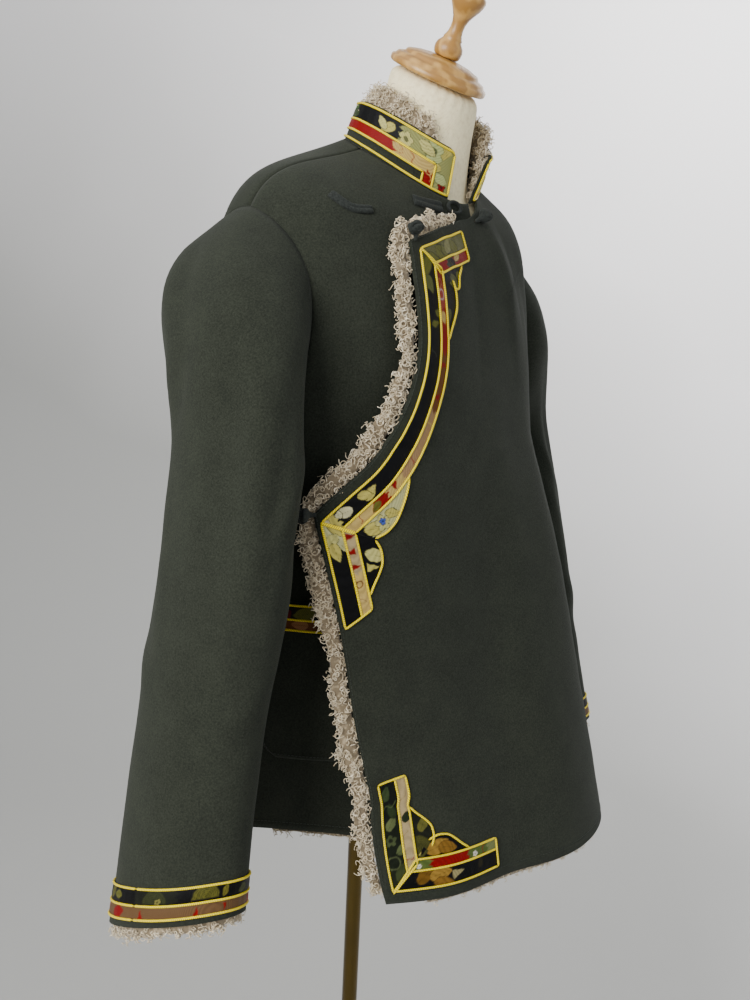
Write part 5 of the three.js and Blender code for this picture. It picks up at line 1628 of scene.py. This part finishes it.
hem_row_level = 0.011
stitches = []
for surface, start, end, raise_at in (
    (wrap_surface, side_edge[1][0] + 1.5, 88.5, 0.0),
    (under_surface, -88.5, 10, hem_raise["right"]),
    (under_surface, 91.5, 268.5, None),
):
    angles = np.linspace(start, end, 400)
    share = (angles - start) / (end - start)
    lifted = back_raise(share) if raise_at is None else raise_at
    stitches += stitches_on(raised_on(surface, thread_rise)(angles, hem_row_level + lifted))
sewn_levels = np.linspace(0.02, 0.9, 500)
stitches += stitches_on(raised_on(wrap_surface, thread_rise)(wrap_edge(sewn_levels) + 0.6, sewn_levels))
side_points = 200
rim_inset = 0.025
rim = np.linspace(0, 1, side_points)
rim_u = np.concatenate([
    np.full(side_points, rim_inset), rim_inset + rim * (1 - 2 * rim_inset),
    np.full(side_points, 1 - rim_inset),
])
rim_v = np.concatenate([
    1 - rim * (1 - rim_inset), np.full(side_points, rim_inset), rim_inset + rim * (1 - rim_inset),
])
rim_levels = pocket_low + (pocket_high - pocket_low) * rim_v
rim_normal = outward_of(plain_body, np.full(len(rim_v), pocket_angle), rim_levels)
stitches += stitches_on(pocket_place(rim_u, rim_v) + rim_normal * 0.15)
line_piece("topstitches", stitches, 0.28, sewing_thread())

# --- fleece ---
# The lining is long curly sheepskin pile, cream and washed, and it shows past the collar, the cuffs, the
# hems and the free edge of the wrapped front. Soft rolls of pile carry small ringlets; the rolls are
# painted darker than the ringlets, as painted shade between the curls.

lock_points = 13
pile_sunk_mm = 1.6


def curly_fleece(name, dark, pale, bump_mm):
    add, shade = new_material(name)
    place = add("TexCoord", "Object")
    clumps = add("TexVoronoi", "Distance", feature="SMOOTH_F1", Vector=place, Scale=260.0)
    patches = add("TexNoise", "Fac", Vector=place, Scale=120.0, Detail=4.0)
    return shade(
        # The colour is darker towards each clump's edge and paler at its middle: painted shade between clumps
        # of curls, over a random tone from the patches.
        Base_Color=toned(add, weighed(add, clumps, -1.2, patches), (0.02, dark), (0.42, pale)),
        Roughness=0.85, Specular_IOR_Level=0.3, Sheen_Weight=0.4, Sheen_Roughness=0.5,
        Normal=bumped(add, clumps, 0.8, bump_mm),
    )


# The rolls under the ringlets are painted much darker than the ringlets: painted shade in the gaps between
# the curls.
pile_painted_in_shade = curly_fleece("pile_painted_in_shade", (0.20, 0.155, 0.095), (0.42, 0.34, 0.22), 1.8)
ringlet_pile = curly_fleece("ringlet_pile", (0.56, 0.465, 0.31), (0.90, 0.81, 0.62), 0.2)


def ringlets(roots, growth, sideways, length, coil, dice):
    """Curled locks. Each winds round its growth direction and opens out towards its tip."""
    count = len(roots)
    along = unit(growth)
    first = unit(np.cross(along, sideways))
    second = np.cross(along, first)
    share = np.linspace(0, 1, lock_points)[None, :, None]
    turns = dice.uniform(1.0, 1.7, count)[:, None, None] * dice.choice([-1, 1], count)[:, None, None]
    phase = dice.uniform(0, math.tau, count)[:, None, None]
    wound = phase + math.tau * turns * share
    radius = coil * dice.uniform(0.6, 1.25, count)[:, None, None] * (0.35 + 0.65 * np.sin(share * 2.3))
    reach = length * dice.uniform(0.5, 1.15, count)[:, None, None]
    bow = (dice.normal(0, 1.6, (count, 1, 3)) - (0, 0, 1.0)) * share**2
    return (
        roots[:, None, :] + along[:, None, :] * reach * share + bow
        + first[:, None, :] * radius * np.cos(wound) + second[:, None, :] * radius * np.sin(wound)
    )


def pile_on(node, count, length, coil, thick, seed, seen):
    """Ringlets spread evenly over a roll, where seen(points, normals) says that it shows."""
    bm = whole_mesh(node)
    sunk = [vert.co - vert.normal * pile_sunk_mm * MM for vert in bm.verts]
    bmesh.ops.triangulate(bm, faces=bm.faces)
    bm.verts.index_update()
    corners = np.array([[vert.co[:] for vert in face.verts] for face in bm.faces]) / MM
    slants = np.array([[vert.normal[:] for vert in face.verts] for face in bm.faces])
    for vert, place in zip(bm.verts, sunk):
        vert.co = place
    # The roll's darker colour is painted shade between the ringlets.
    roll = piece_from(bm, f"{node}_pile", pile_painted_in_shade, smooth_angle=180)
    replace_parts(softened(roll, 2), node)

    middles = corners.mean(axis=1)
    normals = unit(slants.mean(axis=1))
    areas = np.linalg.norm(np.cross(corners[:, 1] - corners[:, 0], corners[:, 2] - corners[:, 0]), axis=1) / 2
    areas = areas * seen(middles, normals)
    dice = np.random.default_rng(seed)
    chosen = dice.choice(len(areas), count, p=areas / areas.sum())
    first, second = dice.uniform(0, 1, (2, count))
    folded = first + second > 1
    first = np.where(folded, 1 - first, first)[:, None]
    second = np.where(folded, 1 - second, second)[:, None]
    corner, slant = corners[chosen], slants[chosen]
    roots = corner[:, 0] * (1 - first - second) + corner[:, 1] * first + corner[:, 2] * second
    normal = unit(slant[:, 0] * (1 - first - second) + slant[:, 1] * first + slant[:, 2] * second)
    stray = dice.normal(0, 0.85, (count, 3))
    sideways = unit(np.cross(normal, dice.normal(0, 1, (count, 3))))
    locks = ringlets(roots - normal * (pile_sunk_mm + 0.3), normal + stray, sideways, length, coil, dice)
    line_piece(f"{node}_ringlets", locks, thick, ringlet_pile, tips=0.55)


def outside_of_edge(points, normals):
    """Faces of the edge's roll that look out of the coat or off its free edge."""
    outward = unit(points * (1, 1, 0))
    return np.where((normals * outward).sum(axis=1) > -0.45, 1.0, 0.05)


def above_collar(points, normals):
    return np.where(normals[:, 2] > -0.1, 1.0, 0.1)


def below_hem(points, normals):
    return np.where(normals[:, 2] < 0.35, 1.0, 0.1)


pile_on("fleece_edge", 1200, 5.6, 2.7, 0.6, 3, outside_of_edge)
pile_on("fleece_collar", 1200, 7.4, 2.2, 0.5, 5, above_collar)
for seed, side_name in enumerate(("right", "left")):
    pile_on(f"fleece_cuff_{side_name}", 450, 4.8, 2.2, 0.54, 11 + seed, below_hem)
for seed, (panel_name, count) in enumerate((("back", 300), ("right", 180), ("left", 280))):
    pile_on(f"fleece_hem_{panel_name}", count, 3.4, 1.8, 0.48, 21 + seed, below_hem)

# Inside the collar's standing left end the pile covers the whole height.
end_count = 230
dice = np.random.default_rng(31)
end_share = dice.uniform(0.865, 0.992, end_count)
end_height = dice.uniform(2, 40, end_count)
end_normal = collar_normal(end_share, end_height)
end_roots = collar_point(end_share, end_height) - end_normal * 3.2
end_sideways = unit(np.cross(end_normal, dice.normal(0, 1, (end_count, 3))))
end_growth = dice.normal(0, 0.5, (end_count, 3)) - end_normal
end_locks = ringlets(end_roots, end_growth, end_sideways, 6.0, 2.5, dice)
line_piece("collar_end_ringlets", end_locks, 0.54, ringlet_pile, tips=0.55)

# --- room ---
# A pale seamless backdrop curves up from the floor behind the stand. Soft light comes from a wide window to
# the front and left, with a weaker one to the right, a pale ceiling and a strip of light on the wall.

room_reach = 6.0
sweep_start = 1.5
sweep_radius = 1.2
wall_height = 4.0
sweep_lengths = np.cumsum([0, room_reach + sweep_start, sweep_radius * math.pi / 2, wall_height])


def backdrop_place(u, v):
    run = v * sweep_lengths[-1]
    floor = np.minimum(run, sweep_lengths[1]) - room_reach
    bend = np.clip(run - sweep_lengths[1], 0, sweep_lengths[2] - sweep_lengths[1]) / sweep_radius
    climb = np.maximum(run - sweep_lengths[2], 0)
    away = floor + sweep_radius * np.sin(bend)
    height = sweep_radius * (1 - np.cos(bend)) + climb
    sideways = (u - 0.5) * 12
    x = level_aim.x * away + level_right.x * sideways
    y = level_aim.y * away + level_right.y * sideways
    return np.stack([x, y, height], axis=-1) / MM


def paper_backdrop():
    add, shade = new_material("paper_backdrop")
    place = add("TexCoord", "Object")
    painted_light_slope = level_right * 0.16 + Vector((0, 0, 0.3))  # painted light and shade: paler to the right and upward
    across = add("VectorMath", "Value", operation="DOT_PRODUCT", terms=(place, painted_light_slope))
    mottle = add("TexNoise", "Fac", Vector=place, Scale=0.7, Detail=2.0)
    # uneven holds the painted light slope with a slow mottle on it.
    uneven = weighed(add, mottle, 0.25, across)
    return shade(
        Base_Color=toned(add, uneven, (0.24, (0.385, 0.385, 0.37)), (0.73, (0.86, 0.845, 0.84))),
        Roughness=0.9, Specular_IOR_Level=0.2,
    )


smooth_object(mapped_grid(8, 60, backdrop_place), "backdrop", paper_backdrop())


def soft_light(name, spot, aim_at, size, watts, colour):
    """An area light. Its places are (to the right of the view, toward the camera, height) in metres."""
    light = bpy.data.lights.new(name, "AREA")
    light.shape = "RECTANGLE"
    light.size, light.size_y = size
    light.energy = watts
    light.color = colour
    lamp = in_scene(name, light)
    start, end = (
        level_right * right - level_aim * toward + Vector((0, 0, height))
        for right, toward, height in (spot, aim_at)
    )
    lamp.location = start
    lamp.rotation_euler = (start - end).to_track_quat("Z", "Y").to_euler()


chest_place = (0, 0, 1.15)
wall_place = (1.9, -2.7, 1.9)
soft_light("window", (-1.4, 2.0, 1.95), chest_place, (1.7, 1.5), 96, (1.0, 0.985, 0.95))
soft_light("second_window", (2.2, 1.4, 1.8), chest_place, (1.0, 1.6), 7, (0.94, 0.97, 1.0))
soft_light("ceiling_light", (-0.4, 0.6, 3.0), chest_place, (2.0, 1.6), 8, (1.0, 1.0, 0.98))
soft_light("wall_light", (1.6, -1.1, 3.0), wall_place, (2.0, 0.6), 105, (1.0, 1.0, 1.0))
world = bpy.data.worlds.new("pale_room")
world.use_nodes = True
sky = world.node_tree.nodes["Background"]
sky.inputs["Color"].default_value = (0.93, 0.95, 1.0, 1)
sky.inputs["Strength"].default_value = 0.66
bpy.context.scene.world = world
